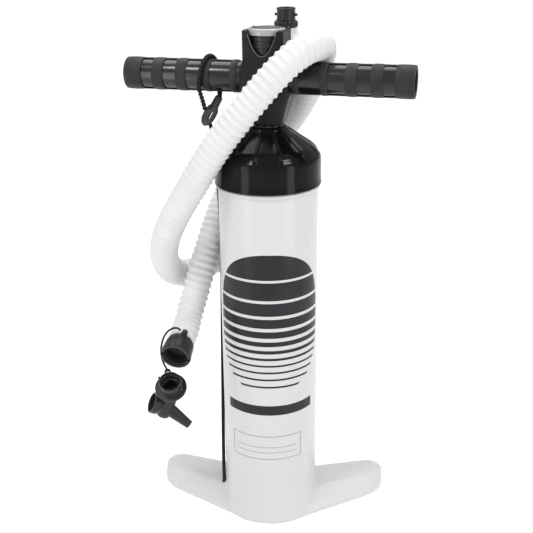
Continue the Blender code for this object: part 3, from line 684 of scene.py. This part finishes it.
def make_connector():
    cuff = spin(rounded([(0.0090, 0.0), (0.0155, 0.0), (0.0155, 0.0072), (0.0140, 0.0095),
                         (0.0090, 0.0095)], 0.001), 48, framed(CONNECTOR_AXIS, LUG_SIDE, HOSE_END))
    piece("connector_cuff_white", cuff, HOSE_WHITE, PLUNGER, ["connector_cuff"], "hose_white")
    place = framed(CONNECTOR_AXIS, LUG_SIDE, CONNECTOR_BACK)
    cup = spin(rounded([(0.0080, 0), (0.0150, 0), (0.0163, 0.0030), (0.0170, 0.0110), (0.0172, 0.0172),
                        (0.0177, 0.0178), (0.0177, 0.0225), (0.0170, 0.0237), (0.0142, 0.0237),
                        (0.0142, 0.0205), (0.0134, 0.0200), (0.0134, 0.0070), (0.0080, 0.0060)], 0.0006), 96)
    slot_outline = ((-0.03, 0.0192), (0.03, 0.0192), (0.03, 0.03), (-0.03, 0.03))
    slots = loft([[(s, o, z) for s, z in slot_outline] for o in (-0.0022, 0.0022)])
    slots.transform(Matrix.Rotation(math.radians(100), 4, "Z"))
    cup = cut(cup, slots)
    lug = spin(rounded([(0.0014, 0), (0.0034, 0), (0.0034, 0.0060), (0.0014, 0.0060)], 0.0006), 32,
               Matrix.Translation((0.0182, 0, -0.0020)))
    web = loft([rounded_rectangle(0.0032, 0.0017, 0.0012, 0.0),
                rounded_rectangle(0.0030, 0.0016, 0.0012, 0.0120),
                rounded_rectangle(0.0010, 0.0012, 0.0008, 0.0165)], Matrix.Translation((0.0168, 0, 0.0015)))
    inner = [spin([(0.0128, z), (0.0136, z), (0.0136, z + 0.0012), (0.0128, z + 0.0012)], 64) for z in
             (0.0085, 0.0125)]
    mesh = joined(cup, lug, web, *inner)
    mesh.transform(place)
    return piece("hose_connector_body", mesh, BLACK_SATIN, PLUNGER, ["hose_connector"], "black_matt")


STUB_AXIS = Vector((0.0436, -0.554, 0.8315)).normalized()
STUB_AT = Vector((-0.1121, -0.0396, 0.1676))
TEE_AXIS = Vector((-0.3528, 0.0224, -0.9350)).normalized()
TEE_MOUTH_AXIS = Vector((-0.8390, -0.3138, 0.4440)).normalized()
NOZZLE_AXIS = Vector((0.7951, -0.1611, -0.5780)).normalized()


def ring_of(centre, axis, radius, count=48):
    place = framed(axis, (0.2, -1, 0), centre)
    turns = [math.tau * k / count for k in range(count)]
    return [place @ Vector((radius * math.cos(turn), radius * math.sin(turn), 0)) for turn in turns]


def make_adapters():
    place = framed(STUB_AXIS, (-1, 0, 0.2), STUB_AT)
    stub = spin(rounded([(0.0080, -0.0060), (0.0125, -0.0060), (0.0125, 0), (0.0180, 0), (0.0184, 0.0008),
                         (0.0184, 0.0028), (0.0176, 0.0034), (0.0134, 0.0034), (0.0134, 0.0100),
                         (0.0138, 0.0104), (0.0138, 0.0122), (0.0130, 0.0126), (0.0130, 0.0158),
                         (0.0122, 0.0165), (0.0112, 0.0165), (0.0112, 0.0120), (0.0100, 0.0112),
                         (0.0100, 0.0060), (0.0080, 0.0050)], 0.0005), 96)
    pins = []
    for turn in PIN_TURNS:
        at = Matrix.Rotation(math.radians(turn), 4, "Z") @ Matrix.Translation((0.0120, 0, 0.0112))
        pins.append(spin(rounded([(0, 0), (0.0016, 0), (0.0016, 0.0044), (0, 0.0044)], 0.0006), 20,
                         at @ Matrix.Rotation(math.pi / 2, 4, "Y")))
    eye = spin(rounded([(0.0016, 0), (0.0038, 0), (0.0038, 0.0040), (0.0016, 0.0040)], 0.0006), 32,
               Matrix.Rotation(math.radians(-66), 4, "Z") @ Matrix.Translation((0.0160, 0, 0.0085)))
    mesh = joined(stub, *pins, eye)
    mesh.transform(place)
    stub_piece = piece("adapter_stub_body", mesh, BLACK_SATIN, PLUNGER, ["adapter_stub"], "black_matt")

    top = STUB_AT - STUB_AXIS * 0.0066
    neck = loft([
        ring_of(top, -STUB_AXIS, 0.0095),
        ring_of(top - STUB_AXIS * 0.0030, (TEE_AXIS - STUB_AXIS * 3).normalized(), 0.0095),
        ring_of(top + TEE_AXIS * 0.0080, (TEE_AXIS * 2 - STUB_AXIS).normalized(), 0.0095),
        ring_of(top + TEE_AXIS * 0.0160, TEE_AXIS, 0.0098),
        ring_of(top + TEE_AXIS * 0.0290, TEE_AXIS, 0.0096),
        ring_of(top + TEE_AXIS * 0.0345, TEE_AXIS, 0.0078),
        ring_of(top + TEE_AXIS * 0.0370, TEE_AXIS, 0.0040)])
    middle = top + TEE_AXIS * 0.0225
    mouth = spin([(0, 0), (0.0088, 0), (0.0090, 0.0095), (0.0124, 0.0105), (0.0124, 0.0180), (0, 0.0180)], 48,
                 along(TEE_MOUTH_AXIS, middle))
    nozzle = spin([(0, 0), (0.0078, 0), (0.0075, 0.0100), (0.0050, 0.0350), (0.0042, 0.0360),
                   (0, 0.0360)], 40, along(NOZZLE_AXIS, middle))
    tee = moulded([neck, mouth, nozzle], 0.0005, 5)
    tee = cut(tee, bar(0.0106, 0.02, along(TEE_MOUTH_AXIS, middle + TEE_MOUTH_AXIS * 0.0115)),
              bar(0.0026, 0.02, along(NOZZLE_AXIS, middle + NOZZLE_AXIS * 0.0280), 24))
    tee_piece = piece("adapter_tee_body", tee, BLACK_SATIN, PLUNGER, ["adapter_tee"], "black_matt")
    return stub_piece, tee_piece


TETHER_ROUTE = [
    (-0.0973, -0.0423, 0.2428), (-0.1013, -0.0408, 0.2462), (-0.1089, -0.0402, 0.2436),
    (-0.115, -0.039, 0.2375), (-0.119, -0.0385, 0.2295), (-0.1215, -0.04, 0.2195), (-0.121, -0.0425, 0.2095),
    (-0.1186, -0.0425, 0.2005), (-0.1169, -0.0386, 0.1934), (-0.1164, -0.0341, 0.187)]


def make_tether():
    points = even_points(smooth_route(TETHER_ROUTE), STRAND_STEP)
    strap = sweep(points, lambda s: TETHER_D / 2, 16)
    return piece("tether_rubber", strap, SEAL, PLUNGER, ["tether_strap"], "rubber"), points


# ---------------------------------------------------------------- leash

LEASH_ROUTE = [
    (-0.0574, -0.0095, 0.005), (-0.0574, -0.0095, 0.022), (-0.058, -0.0056, 0.06), (-0.058, 0.002, 0.11),
    (-0.0575, 0.0072, 0.17), (-0.0568, 0.0122, 0.24), (-0.0559, 0.0168, 0.3), (-0.056, 0.0196, 0.35),
    (-0.0575, 0.02, 0.385), (-0.0588, 0.0188, 0.408), (-0.0593, 0.0174, 0.43), (-0.0599, 0.0162, 0.444),
    (-0.0614, 0.0148, 0.455), (-0.064, 0.0139, 0.466)]
HOOK_TOP = Vector((-0.0532, 0.0100, 0.4950))
HOOK_AXIS = Vector((-0.50, -0.05, -0.865)).normalized()
LEASH_GRIP_AT = -0.0710


def make_leash():
    points = even_points(smooth_route(LEASH_ROUTE), STRAND_STEP)
    cord = sweep(points, lambda s: LEASH_D / 2, 20)
    leash = piece("leash_braided", cord, CORD, None, ["leash_cord"], "cord")
    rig.blend(leash, ROOT, PLUNGER, start=(-0.0574, -0.0095, 0.030), end=(-0.0612, 0.0149, 0.453))

    place = framed(HOOK_AXIS, (1, -0.3, 0), HOOK_TOP)
    outline = [(0.0034, -0.0020), (0.0040, 0.0), (0.0041, 0.0050), (0.0042, 0.0095), (0.0060, 0.0122),
               (0.0068, 0.0150), (0.0070, 0.0200), (0.0068, 0.0250), (0.0052, 0.0295), (0.0022, 0.0335),
               (-0.0010, 0.0340), (-0.0040, 0.0320), (-0.0062, 0.0280), (-0.0069, 0.0240), (-0.0070, 0.0190),
               (-0.0066, 0.0148), (-0.0058, 0.0122), (-0.0042, 0.0095), (-0.0041, 0.0050), (-0.0040, 0.0),
               (-0.0034, -0.0020)]
    plate = loft([[(x, y, z) for x, z in outline] for y in (-0.0020, 0.0020)])
    hole_outline = ((0.0006, 0.0165), (0.0026, 0.0165), (0.0024, 0.0250), (0.0006, 0.0250))
    hole = loft([[(x, y, z) for x, z in hole_outline] for y in (-0.01, 0.01)])
    plate = applied(cut(plate, hole), ("BEVEL", {"width": 0.0007, "segments": 3, "limit_method": "ANGLE"}))
    plate.transform(place)
    hook = piece("leash_hook_plate", plate, BLACK_SATIN, PLUNGER, ["leash_hook"], "black_matt")

    ring_r = (SLEEVE_R + GAP + LEASH_D / 2) * 1.05
    ring = []
    for k in range(16):
        part = k / 15
        turn = math.radians(-80 + 305 * part)
        s = LEASH_GRIP_AT + 0.0165 * (1 - part)
        ring.append(HANDLE @ Vector((s, ring_r * math.cos(turn), HANDLE_Z + ring_r * math.sin(turn))))
    start = [HOOK_TOP - HOOK_AXIS * 0.0022, HOOK_TOP - HOOK_AXIS * 0.0040]
    end = [Vector((-0.0700, -0.0010, 0.4980)), Vector((-0.0672, 0.0020, 0.4840))]
    loop_points = even_points(smooth_route(start + ring + end), STRAND_STEP)

    def knotted(s):
        """Bumpy braid."""
        return LEASH_D / 2 + 0.0001 + 0.0005 * math.cos(math.tau * s / KNOT_PITCH)

    knots = sweep(loop_points, knotted, 20)
    loop = piece("leash_loop_braided", knots, CORD, PLUNGER, ["leash_loop"], "cord")
    return leash, points, hook, loop, loop_points


hose, hose_points = make_hose()
make_plug()
connector = make_connector()
stub, tee = make_adapters()
tether, tether_points = make_tether()
leash, leash_points, hook, loop, loop_points = make_leash()


# ---------------------------------------------------------------- barrel and foot

def wing_front(x):
    reach = abs(x)
    return -0.0400 if reach < 0.042 else -0.0435 + 0.625 * (reach - 0.044)


def wing_section(x, steps=10):
    """Cross section of the foot at x, densely sampled over its crowned top."""
    reach = min(abs(x) / WING_REACH, 1.0)
    front, back = wing_front(x), 0.0287 + 0.33 * abs(x)
    tip = max(0.0, (abs(x) - 0.117) / (WING_REACH - 0.117))
    round_off = 0.022 * (1 - math.sqrt(max(0.0, 1 - tip ** 2)))
    front += round_off * 0.8
    back -= round_off
    ridge = 0.0270 - 0.0095 * reach - 0.0025 * tip ** 3
    rise = (0.0240 - 0.0080 * reach) / (back - front)
    outline = [(0.0, 0.0), (0.0, 0.0050), (0.10, ridge * 0.55), (rise, ridge)]
    for k in range(1, steps):
        t = rise + (0.95 - rise) * k / steps
        outline.append((t, ridge * (1 - 0.30 * ((t - rise) / (0.95 - rise)) ** 2)))
    outline += [(0.95, ridge * 0.70), (1.0, ridge * 0.60), (1.0, 0.0)]
    return [(x, front + (back - front) * t, z) for t, z in outline]


def make_barrel():
    stations = [-WING_REACH, -0.138, -0.136, -0.133, -0.130, -0.124, -0.117, -0.108, -0.100, -0.080,
                -0.060, -0.042]
    stations += [0.0] + [-x for x in reversed(stations)]
    wings = loft([wing_section(x) for x in stations])
    flare = spin([(0, 0), (0.0615, 0), (0.0615, 0.0050), (0.0600, 0.0100), (0.0585, 0.0150), (0.0570, 0.0210),
                  (0.0560, 0.0270), (0.0553, 0.0340), (BARREL_R, 0.0420), (BARREL_R, FOOT_TOP + 0.02),
                  (0, FOOT_TOP + 0.02)], 128)
    foot = moulded([wings, flare], 0.0014, 8)
    for v in foot.vertices:
        r = math.hypot(v.co.x, v.co.y)
        hold = min(1.0, max(0.0, (v.co.z - 0.045) / 0.02))
        if r > 0.04:
            scale = 1 + hold * (BARREL_R / r - 1)
            v.co.x *= scale
            v.co.y *= scale
        if v.co.z < 0.0012:
            v.co.z = 0.0
    top = loft([[(x, y, z) for x, y in ((-0.2, -0.2), (0.2, -0.2), (0.2, 0.2), (-0.2, 0.2))]
                for z in (FOOT_TOP, 0.2)])
    hole = bar(0.0030, 0.06, Matrix.Translation((*LEASH_HOLE, -0.01)), 24)
    pocket = bar(0.0068, 0.020, Matrix.Translation((LEASH_HOLE[0] - 0.0020, LEASH_HOLE[1], -0.0110)), 24)
    foot = cut(foot, top, bar(BORE_R, 0.5, Matrix.Translation((0, 0, FLOOR_TOP)), 96), hole, pocket)
    wall = [(BARREL_R, FOOT_TOP), (BARREL_R, 0.4006)]
    bead = [(BARREL_R + 0.0024 * math.sin(math.pi * k / 8), 0.4033 - 0.0024 * math.cos(math.pi * k / 8))
            for k in range(9)]
    tube = spin(wall + bead + [(BARREL_R, 0.4059), (BARREL_R, 0.4315), (0.0545, 0.4320), (BORE_R, 0.4320),
                               (BORE_R, FOOT_TOP)], 192, closed=False)
    return piece("barrel_and_foot", joined(foot, tube), WHITE, ROOT, ["barrel"], "white_moulding", 40)


def wrapped(outlines, lift=0.00012, columns=24):
    """Thin printed patches on the barrel, each a list of (z, left turn, right turn) rows going up."""
    meshes = []
    for rows in outlines:
        verts, faces = [], []
        for radius in (BARREL_R - 0.0003, BARREL_R + lift):
            for z, left, right in rows:
                for i in range(columns + 1):
                    turn = CAMERA_TURN - math.pi / 2 + left + (right - left) * i / columns
                    verts.append((radius * math.cos(turn), radius * math.sin(turn), z))
        wide = columns + 1
        layer = wide * len(rows)
        for k in range(len(rows) - 1):
            for i in range(columns):
                a = k * wide + i
                faces.append((a, a + 1, a + wide + 1, a + wide))
                faces.append((layer + a, layer + a + wide, layer + a + wide + 1, layer + a + 1))
        border = [k for k in range(wide)] + [k * wide + columns for k in range(1, len(rows))]
        border += [(len(rows) - 1) * wide + i for i in range(columns - 1, -1, -1)]
        border += [k * wide for k in range(len(rows) - 2, 0, -1)]
        for a, b in zip(border, border[1:] + border[:1]):
            faces.append((a, b, layer + b, layer + a))
        meshes.append(to_mesh("patch", verts, faces))
    return joined(*meshes)


def make_print():
    """Plain striped oval and bar, and a blank ruled panel."""
    centre, half_height, half_turn = 0.2555, 0.0835, math.radians(72)
    bands, top, thickness, space = [], centre + half_height - 0.0002, 0.0290, 0.0030
    while top > centre - half_height + 0.004:
        low = max(top - thickness, centre - half_height + 0.0005)
        rows = []
        for k in range(17):
            level = top - (top - low) * (1 - k / 16) ** 2
            reach = half_turn * max(0.0, 1 - abs((level - centre) / half_height) ** 2.6) ** (1 / 2.2)
            rows.append((level, -reach, reach))
        bands.append(rows)
        top = low - space
        thickness = max(0.0022, thickness * 0.72)
        space += 0.0004
    bar_turn = math.radians(58)
    bands.append([(0.1440, -bar_turn, bar_turn), (0.1560, -bar_turn, bar_turn)])
    piece("barrel_print", wrapped(bands, columns=40), PRINT, ROOT)

    left, right, low, high = math.radians(-51), math.radians(39.5), 0.0853, 0.1158
    line, side = 0.00045, 0.00045 / BARREL_R
    lines = [[(low, left, right), (low + line, left, right)],
             [(high - line, left, right), (high, left, right)],
             [(low, left, left + side), (high, left, left + side)],
             [(low, right - side, right), (high, right - side, right)]]
    for level in (0.0940, 0.1010):
        lines.append([(level, left + 0.12, right - 0.12), (level + 0.0003, left + 0.12, right - 0.12)])
    piece("barrel_panel", wrapped(lines), PRINT_FINE, ROOT)


GUIDE_HOLE = 0.0138
PETALS = 12


def make_cap():
    outer = [(GUIDE_HOLE, 0.4680), (0.0190, 0.4680), (0.0198, 0.4677)]
    for k in range(1, 29):
        t = k / 28
        outer.append((0.0198 + 0.0290 * t, 0.4677 - 0.0198 * t))
    shoulder = [Vector(p) for p in ((0.0488, 0.4479), (0.0535, 0.4440), (0.0582, 0.4405), (0.0582, 0.4300))]
    for k in range(1, 17):
        t = k / 16
        weights = ((1 - t) ** 3, 3 * t * (1 - t) ** 2, 3 * t * t * (1 - t), t ** 3)
        outer.append(tuple(sum((w * p for w, p in zip(weights, shoulder)), Vector((0, 0)))))
    outer += [(0.0582, 0.4250), (0.0582, 0.4180), (0.0582, 0.4095), (0.0586, 0.4082), (0.0588, 0.4072),
              (0.0586, 0.4063), (0.0553, 0.4062), (0.0553, 0.4346), (0.0512, 0.4346), (0.0460, 0.4440),
              (0.0200, 0.4610), (GUIDE_HOLE, 0.4610)]
    lengths = [0.0]
    for a, b in zip(outer, outer[1:]):
        lengths.append(lengths[-1] + math.hypot(b[0] - a[0], b[1] - a[1]))
    petal_start = lengths[3] + 0.0010
    petal_end = next(s for s, p in zip(lengths, outer) if p[1] < 0.4375)
    last = next(k for k, p in enumerate(outer) if p[1] < 0.4340)
    half_petal = 180 / PETALS

    def petals(k, turn, r, z):
        """Shallow panels between thin raised ribs, fading out round the shoulder."""
        if not 3 <= k <= last:
            return r, z
        offset = (math.degrees(turn - CAMERA_TURN) + half_petal) % (2 * half_petal) - half_petal
        inside = math.radians(half_petal - abs(offset)) * r - 0.0007
        inside = min(inside, lengths[k] - petal_start)
        fade = min(1.0, max(0.0, (petal_end - lengths[k]) / 0.0040))
        depth = 0.0009 * min(1.0, max(0.0, inside / 0.0009)) * fade
        a, b = Vector(outer[k - 1]), Vector(outer[k + 1])
        normal = Vector((a.y - b.y, b.x - a.x)).normalized()
        return r - normal.x * depth, z - normal.y * depth

    mesh = spin(outer, 720, None, petals)
    piece("cap_ribbed", mesh, BLACK_GLOSS, ROOT, ["barrel_cap"], "black_gloss", 50)


def make_guide():
    profile = [(0.0103, 0.4040), (0.0135, 0.4040), (0.0135, 0.4683), (0.0164, 0.4683), (0.0168, 0.4687),
               (0.0168, 0.4703), (0.0164, 0.4707), (0.0131, 0.4707), (0.0131, 0.4660), (0.0103, 0.4660)]

    def teeth(k, turn, r, z):
        """Castellated top edge."""
        if 5 <= k <= 7 and math.sin(turn * 12) < -0.2:
            z -= 0.0014
        return r, z

    mesh = spin(profile, 480, None, teeth)
    piece("guide_castellated", mesh, BLACK_SATIN, ROOT, ["rod_guide"], "black_matt")


# ---------------------------------------------------------------- handle

def make_hub():
    column = loft([
        rounded_rectangle(0.0178, 0.0140, 0.0080, 0.4708), rounded_rectangle(0.0190, 0.0152, 0.0080, 0.4722),
        rounded_rectangle(0.0198, 0.0158, 0.0078, 0.4760), rounded_rectangle(0.0240, 0.0180, 0.0070, 0.4900),
        rounded_rectangle(0.0280, 0.0196, 0.0062, 0.5020), rounded_rectangle(0.0272, 0.0200, 0.0060, 0.5080),
        rounded_rectangle(0.0226, 0.0204, 0.0050, 0.5290), rounded_rectangle(0.0220, 0.0205, 0.0048, 0.5400),
        rounded_rectangle(0.0220, 0.0205, 0.0046, HOUSING_TOP)])
    arms = spin([(0, -0.0262), (0.0164, -0.0262), (0.0170, -0.0256), (0.0172, -0.0150), (0.0172, 0.0150),
                 (0.0170, 0.0256), (0.0164, 0.0262), (0, 0.0262)], 96, along((1, 0, 0), (0, 0, HANDLE_Z)))
    body = moulded([column, arms], 0.0006, 5)
    core = spin([(0, 0.4600), (0.0103, 0.4600), (0.0103, 0.5083), (0.0070, 0.5083),
                 (0.0070, GAUGE_SEAT), (0.0185, GAUGE_SEAT), (0.0185, LENS_SEAT), (0.0201, LENS_SEAT),
                 (0.0201, 0.6000), (0, 0.6000)], 96)
    outlet = spin([(0, 0), (0.0045, 0), (0.0045, 0.0075), (0.0100, 0.0075), (0.0100, 0.0400),
                   (0, 0.0400)], 48, along((0, 1, 0), (0, 0, HANDLE_Z)))
    screw = spin([(0, -0.0150), (0.0023, -0.0150), (0.0023, 0.0150), (0.0044, 0.0150), (0.0044, 0.0400),
                  (0, 0.0400)], 32, along((0, 1, 0), (0, 0, 0.4880)))
    outline = []
    for k in range(33):
        t = k / 16 - 1
        outline.append((t * 0.0160, HOUSING_TOP - 0.0255 * (1 - abs(t) ** 2.2)))
    outline += [(0.0160, HOUSING_TOP + 0.01), (-0.0160, HOUSING_TOP + 0.01)]
    window = loft([[(s, o, z) for s, z in outline] for o in (-0.030, -0.0120)])
    sockets = [bar(0.0160, 0.05, along((side, 0, 0), (side * 0.0120, 0, HANDLE_Z)), 96)
               for side in (-1, 1)]
    body = cut(body, core, outlet, screw, window, *sockets)
    body.transform(HANDLE)
    piece("hub_moulding", body, HUB_BLACK, PLUNGER, ["handle_hub"], "black_gloss", 40)
    # Thin lip round the window's edge, coloured lighter grey as a painted highlight along the moulded edge.
    edge = [HANDLE @ Vector((s, -0.0206, z)) for s, z in outline[1:32]]
    piece("hub_window_lip", sweep(even_points(edge, STRAND_STEP), lambda s: 0.0004, 10), EDGE_HIGHLIGHT, PLUNGER)


WINDOWS = [(0.0370, 0.0595), (0.0670, 0.0860), (0.0975, 0.1120), (0.1245, 0.1370)]
WINDOW_SPAN = (math.radians(-66), math.radians(80))
WINDOW_CORNER = 0.0028


def window_cutter(near, far, side, face):
    """Wedge cutter for one window in the front or back of a sleeve, with round corners."""
    low, high = WINDOW_SPAN
    corner = WINDOW_CORNER / SLEEVE_R
    ends = [0.0, 0.08, 0.22, 0.42, 0.68, 1.0]
    turns = [low + corner * e for e in ends] + [low + (high - low) * k / 12 for k in range(2, 11)]
    turns += [high - corner * e for e in reversed(ends)]
    sections = []
    for turn in turns:
        short = max(0.0, 1 - min(turn - low, high - turn) / corner)
        inset = WINDOW_CORNER * (1 - math.sqrt(1 - short ** 2)) + 0.00001
        across, up = face * math.cos(turn), math.sin(turn)
        sections.append([(side * s, r * across, HANDLE_Z + r * up)
                         for s, r in ((near + inset, 0.012), (far - inset, 0.012),
                                      (far - inset, 0.022), (near + inset, 0.022))])
    return loft(sections)


def make_grips():
    for side, label in ((-1, "left"), (1, "right")):
        out = HANDLE @ along((side, 0, 0), (0, 0, HANDLE_Z))
        tube = spin(rounded([(0.0137, 0.0123), (0.0157, 0.0123), (0.0157, 0.1541), (0.0137, 0.1541)],
                            0.0005), 96, out)
        piece(f"grip_core_{label}", tube, BLACK_TUBE, PLUNGER, [f"grip_tube_{label}"], "black_gloss")
        profile = [(0.0160, 0.0300), (0.0168, 0.0300)]
        starts = [0.0304] + [far for near, far in WINDOWS]
        for start, end in zip(starts, [near for near, far in WINDOWS] + [0.1563]):
            for t in (0.0, 0.12, 0.3, 0.5, 0.7, 0.88, 1.0):
                bulge = 1 - abs(2 * t - 1) ** 3
                profile.append((0.0168 + 0.0005 * bulge, start + (end - start) * t))
        profile += [(0.0164, 0.1565), (0.0130, 0.1565), (0.0130, 0.1544), (0.0160, 0.1544)]
        sleeve = spin(profile, 128, along((side, 0, 0), (0, 0, HANDLE_Z)))
        cutters = [window_cutter(near, far, side, face) for near, far in WINDOWS for face in (-1, 1)]
        sleeve = cut(sleeve, *cutters)
        sleeve = applied(sleeve, ("BEVEL", {"width": 0.00025, "segments": 2, "limit_method": "ANGLE"}))
        sleeve.transform(HANDLE)
        piece(f"grip_rubber_{label}", sleeve, RUBBER, PLUNGER, [f"grip_sleeve_{label}"], "rubber")


def make_gauge():
    body = spin(rounded([(0.0030, 0.5403), (0.0168, 0.5403), (0.0174, 0.5500), (0.0180, 0.5513),
                         (0.0180, 0.5529), (0.0174, 0.5540), (0.0174, 0.5572), (0.0180, 0.5584),
                         (0.0180, 0.5630), (0.0163, 0.5630), (0.0163, 0.5580), (0.0030, 0.5580)],
                        0.0005), 96, HANDLE)
    piece("gauge_case", body, BLACK_SATIN, PLUNGER, ["gauge_body"], "black_matt")
    face = spin([(0.0012, 0.5583), (0.0160, 0.5583), (0.0160, 0.5591), (0.0012, 0.5591)], 96, HANDLE)
    piece("gauge_face", face, DIAL, PLUNGER, ["gauge_dial"], "dial")
    ticks = []
    for k in range(31):
        turn = math.radians(225 - 9 * k)
        long_tick = k % 5 == 0
        inner = 0.0118 if long_tick else 0.0132
        half = 0.00026 if long_tick else 0.00014
        place = HANDLE @ Matrix.Rotation(turn, 4, "Z")
        ticks.append(loft([[(inner, -half, z), (0.0150, -half, z), (0.0150, half, z), (inner, half, z)]
                           for z in (0.5590, 0.55925)], place))
    piece("gauge_scale", joined(*ticks), PRINT, PLUNGER)
    needle = [(-0.0045, -0.0009), (-0.0038, -0.0014), (0.0, -0.0015), (0.0125, -0.0003), (0.0137, 0.0),
              (0.0125, 0.0003), (0.0, 0.0015), (-0.0038, 0.0014), (-0.0045, 0.0009)]
    mesh = loft([[(x, y, z) for x, y in needle] for z in (0.5600, 0.5607)],
                HANDLE @ Matrix.Rotation(math.radians(225), 4, "Z"))
    hub = spin(rounded([(0, 0.5596), (0.0024, 0.5596), (0.0022, 0.5618), (0, 0.5620)], 0.0004), 32)
    piece("needle_pointer", joined(mesh, hub), RED, "needle", ["gauge_needle"], "needle")
    lens = spin([(0, 0.5672), (0.0160, 0.5670), (0.0170, 0.5662), (0.0170, 0.5637), (0.0198, 0.5637),
                 (0.0198, 0.5686), (0.0194, 0.5694), (0.0185, 0.5699), (0.0150, 0.5708), (0.0100, 0.5715),
                 (0.0050, 0.5719), (0, 0.5720)], 96, HANDLE)
    piece("gauge_glass", lens, CLEAR, PLUNGER, ["gauge_lens"], "clear")


make_barrel()
make_print()
make_cap()
make_guide()
make_hub()
make_grips()
make_gauge()


# ---------------------------------------------------------------- CAD nodes that show as they are

CARRIED = {
    "pump_rod": ALLOY, "piston": BLACK_SATIN, "piston_cup": SEAL, "piston_nut": STEEL, "stop_buffer": SEAL,
    "intake_flap": SEAL, "cap_seal": SEAL, "rod_wiper": SEAL, "rod_screw": STEEL,
    "outlet_socket": BLACK_SATIN, "outlet_o_ring": SEAL, "outlet_valve_disc": SEAL, "leash_knot": CORD,
    **{f"gauge_screw_{k}": DARK_STEEL for k in (1, 2, 3, 4)}}
for node, mat in CARRIED.items():
    mesh = frame["nodes"][node].data
    mesh.materials.clear()
    mesh.materials.append(mat)
    mesh.shade_smooth()
    mesh.set_sharp_from_angle(angle=math.radians(35))


# ---------------------------------------------------------------- cords

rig.cord(hose, exit=hose_points[0], length=length_of(hose_points), diameter=HOSE_D, far_end="connector",
        stiffness="stiff", lay="loose", path=hose_points, with_pieces=[connector, stub, tee])
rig.cord(leash, exit=leash_points[0], length=length_of(leash_points), diameter=LEASH_D, far_end="fitting",
        stiffness="limp", lay="taut", path=leash_points, with_pieces=[hook])
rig.cord(loop, exit=loop_points[0], length=length_of(loop_points), diameter=LEASH_D, far_end="object",
        stiffness="medium", lay="hanging", path=loop_points)
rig.cord(tether, exit=tether_points[0], length=length_of(tether_points), diameter=TETHER_D, far_end="object",
        stiffness="medium", lay="hanging", path=tether_points)


# ---------------------------------------------------------------- stage

def area_light(name, at, target, size, power):
    data = bpy.data.lights.new(name, "AREA")
    data.shape = "RECTANGLE"
    data.size, data.size_y = size
    data.energy = power
    light = bpy.data.objects.new(name, data)
    bpy.context.scene.collection.objects.link(light)
    light.matrix_world = Matrix.Translation(Vector(at)) @ (
        Vector(at) - Vector(target)).to_track_quat("Z", "Y").to_matrix().to_4x4()


def studio_world():
    """Soft light, strongest from the front and above and weakest from behind and below."""
    world = bpy.data.worlds.new("studio")
    world.use_nodes = True
    tree = world.node_tree
    place = tree.nodes.new("ShaderNodeTexCoord")
    facing = tree.nodes.new("ShaderNodeVectorMath")
    facing.operation = "DOT_PRODUCT"
    facing.inputs[1].default_value = (0.05, -0.60, 0.60)
    tree.links.new(place.outputs["Generated"], facing.inputs[0])
    strength = spread(tree, facing.outputs["Value"], 0.42, 0.74, (-0.6, 0.6))
    tree.links.new(strength, tree.nodes["Background"].inputs["Strength"])
    tree.nodes["Background"].inputs["Color"].default_value = (1, 1, 1, 1)
    return world


def make_stage():
    mesh = to_mesh("floor", [(-8, -8, 0), (8, -8, 0), (8, 8, 0), (-8, 8, 0)], [(0, 1, 2, 3)])
    mat, _, shader = shader_of("floor_white")
    shader.inputs["Base Color"].default_value = (0.50, 0.50, 0.50, 1)
    shader.inputs["Roughness"].default_value = 0.9
    shader.inputs["Emission Color"].default_value = (1, 1, 1, 1)
    shader.inputs["Emission Strength"].default_value = 0.67
    mesh.materials.append(mat)
    floor = bpy.data.objects.new("floor", mesh)
    floor.location = (0, 0, -0.0004)
    bpy.context.scene.collection.objects.link(floor)
    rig.stage(floor)
    bpy.context.scene.world = studio_world()
    bpy.context.scene.view_settings.view_transform = "Standard"
    area_light("soft_left", (-0.60, -0.58, 1.50), (0, 0, 0.45), (0.42, 0.22), 5)
    area_light("soft_right", (0.70, -0.48, 1.50), (0, 0, 0.45), (0.42, 0.22), 5)
    area_light("strip_left", (-0.62, -0.64, 0.40), (0, 0, 0.40), (0.24, 0.7), 1.4)
    area_light("strip_right", (0.71, -0.55, 0.40), (0, 0, 0.40), (0.24, 0.7), 1.4)
    area_light("top", (0.0, 0.65, 1.7), (0, 0, 0.10), (1.6, 1.0), 14)


make_stage()
low, high = CAD_BOX
shown_low, shown_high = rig.bounds()
with open("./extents.json", "w") as f:
    json.dump({"cad": [list(low), list(high)], "visual": [list(shown_low), list(shown_high)]}, f)
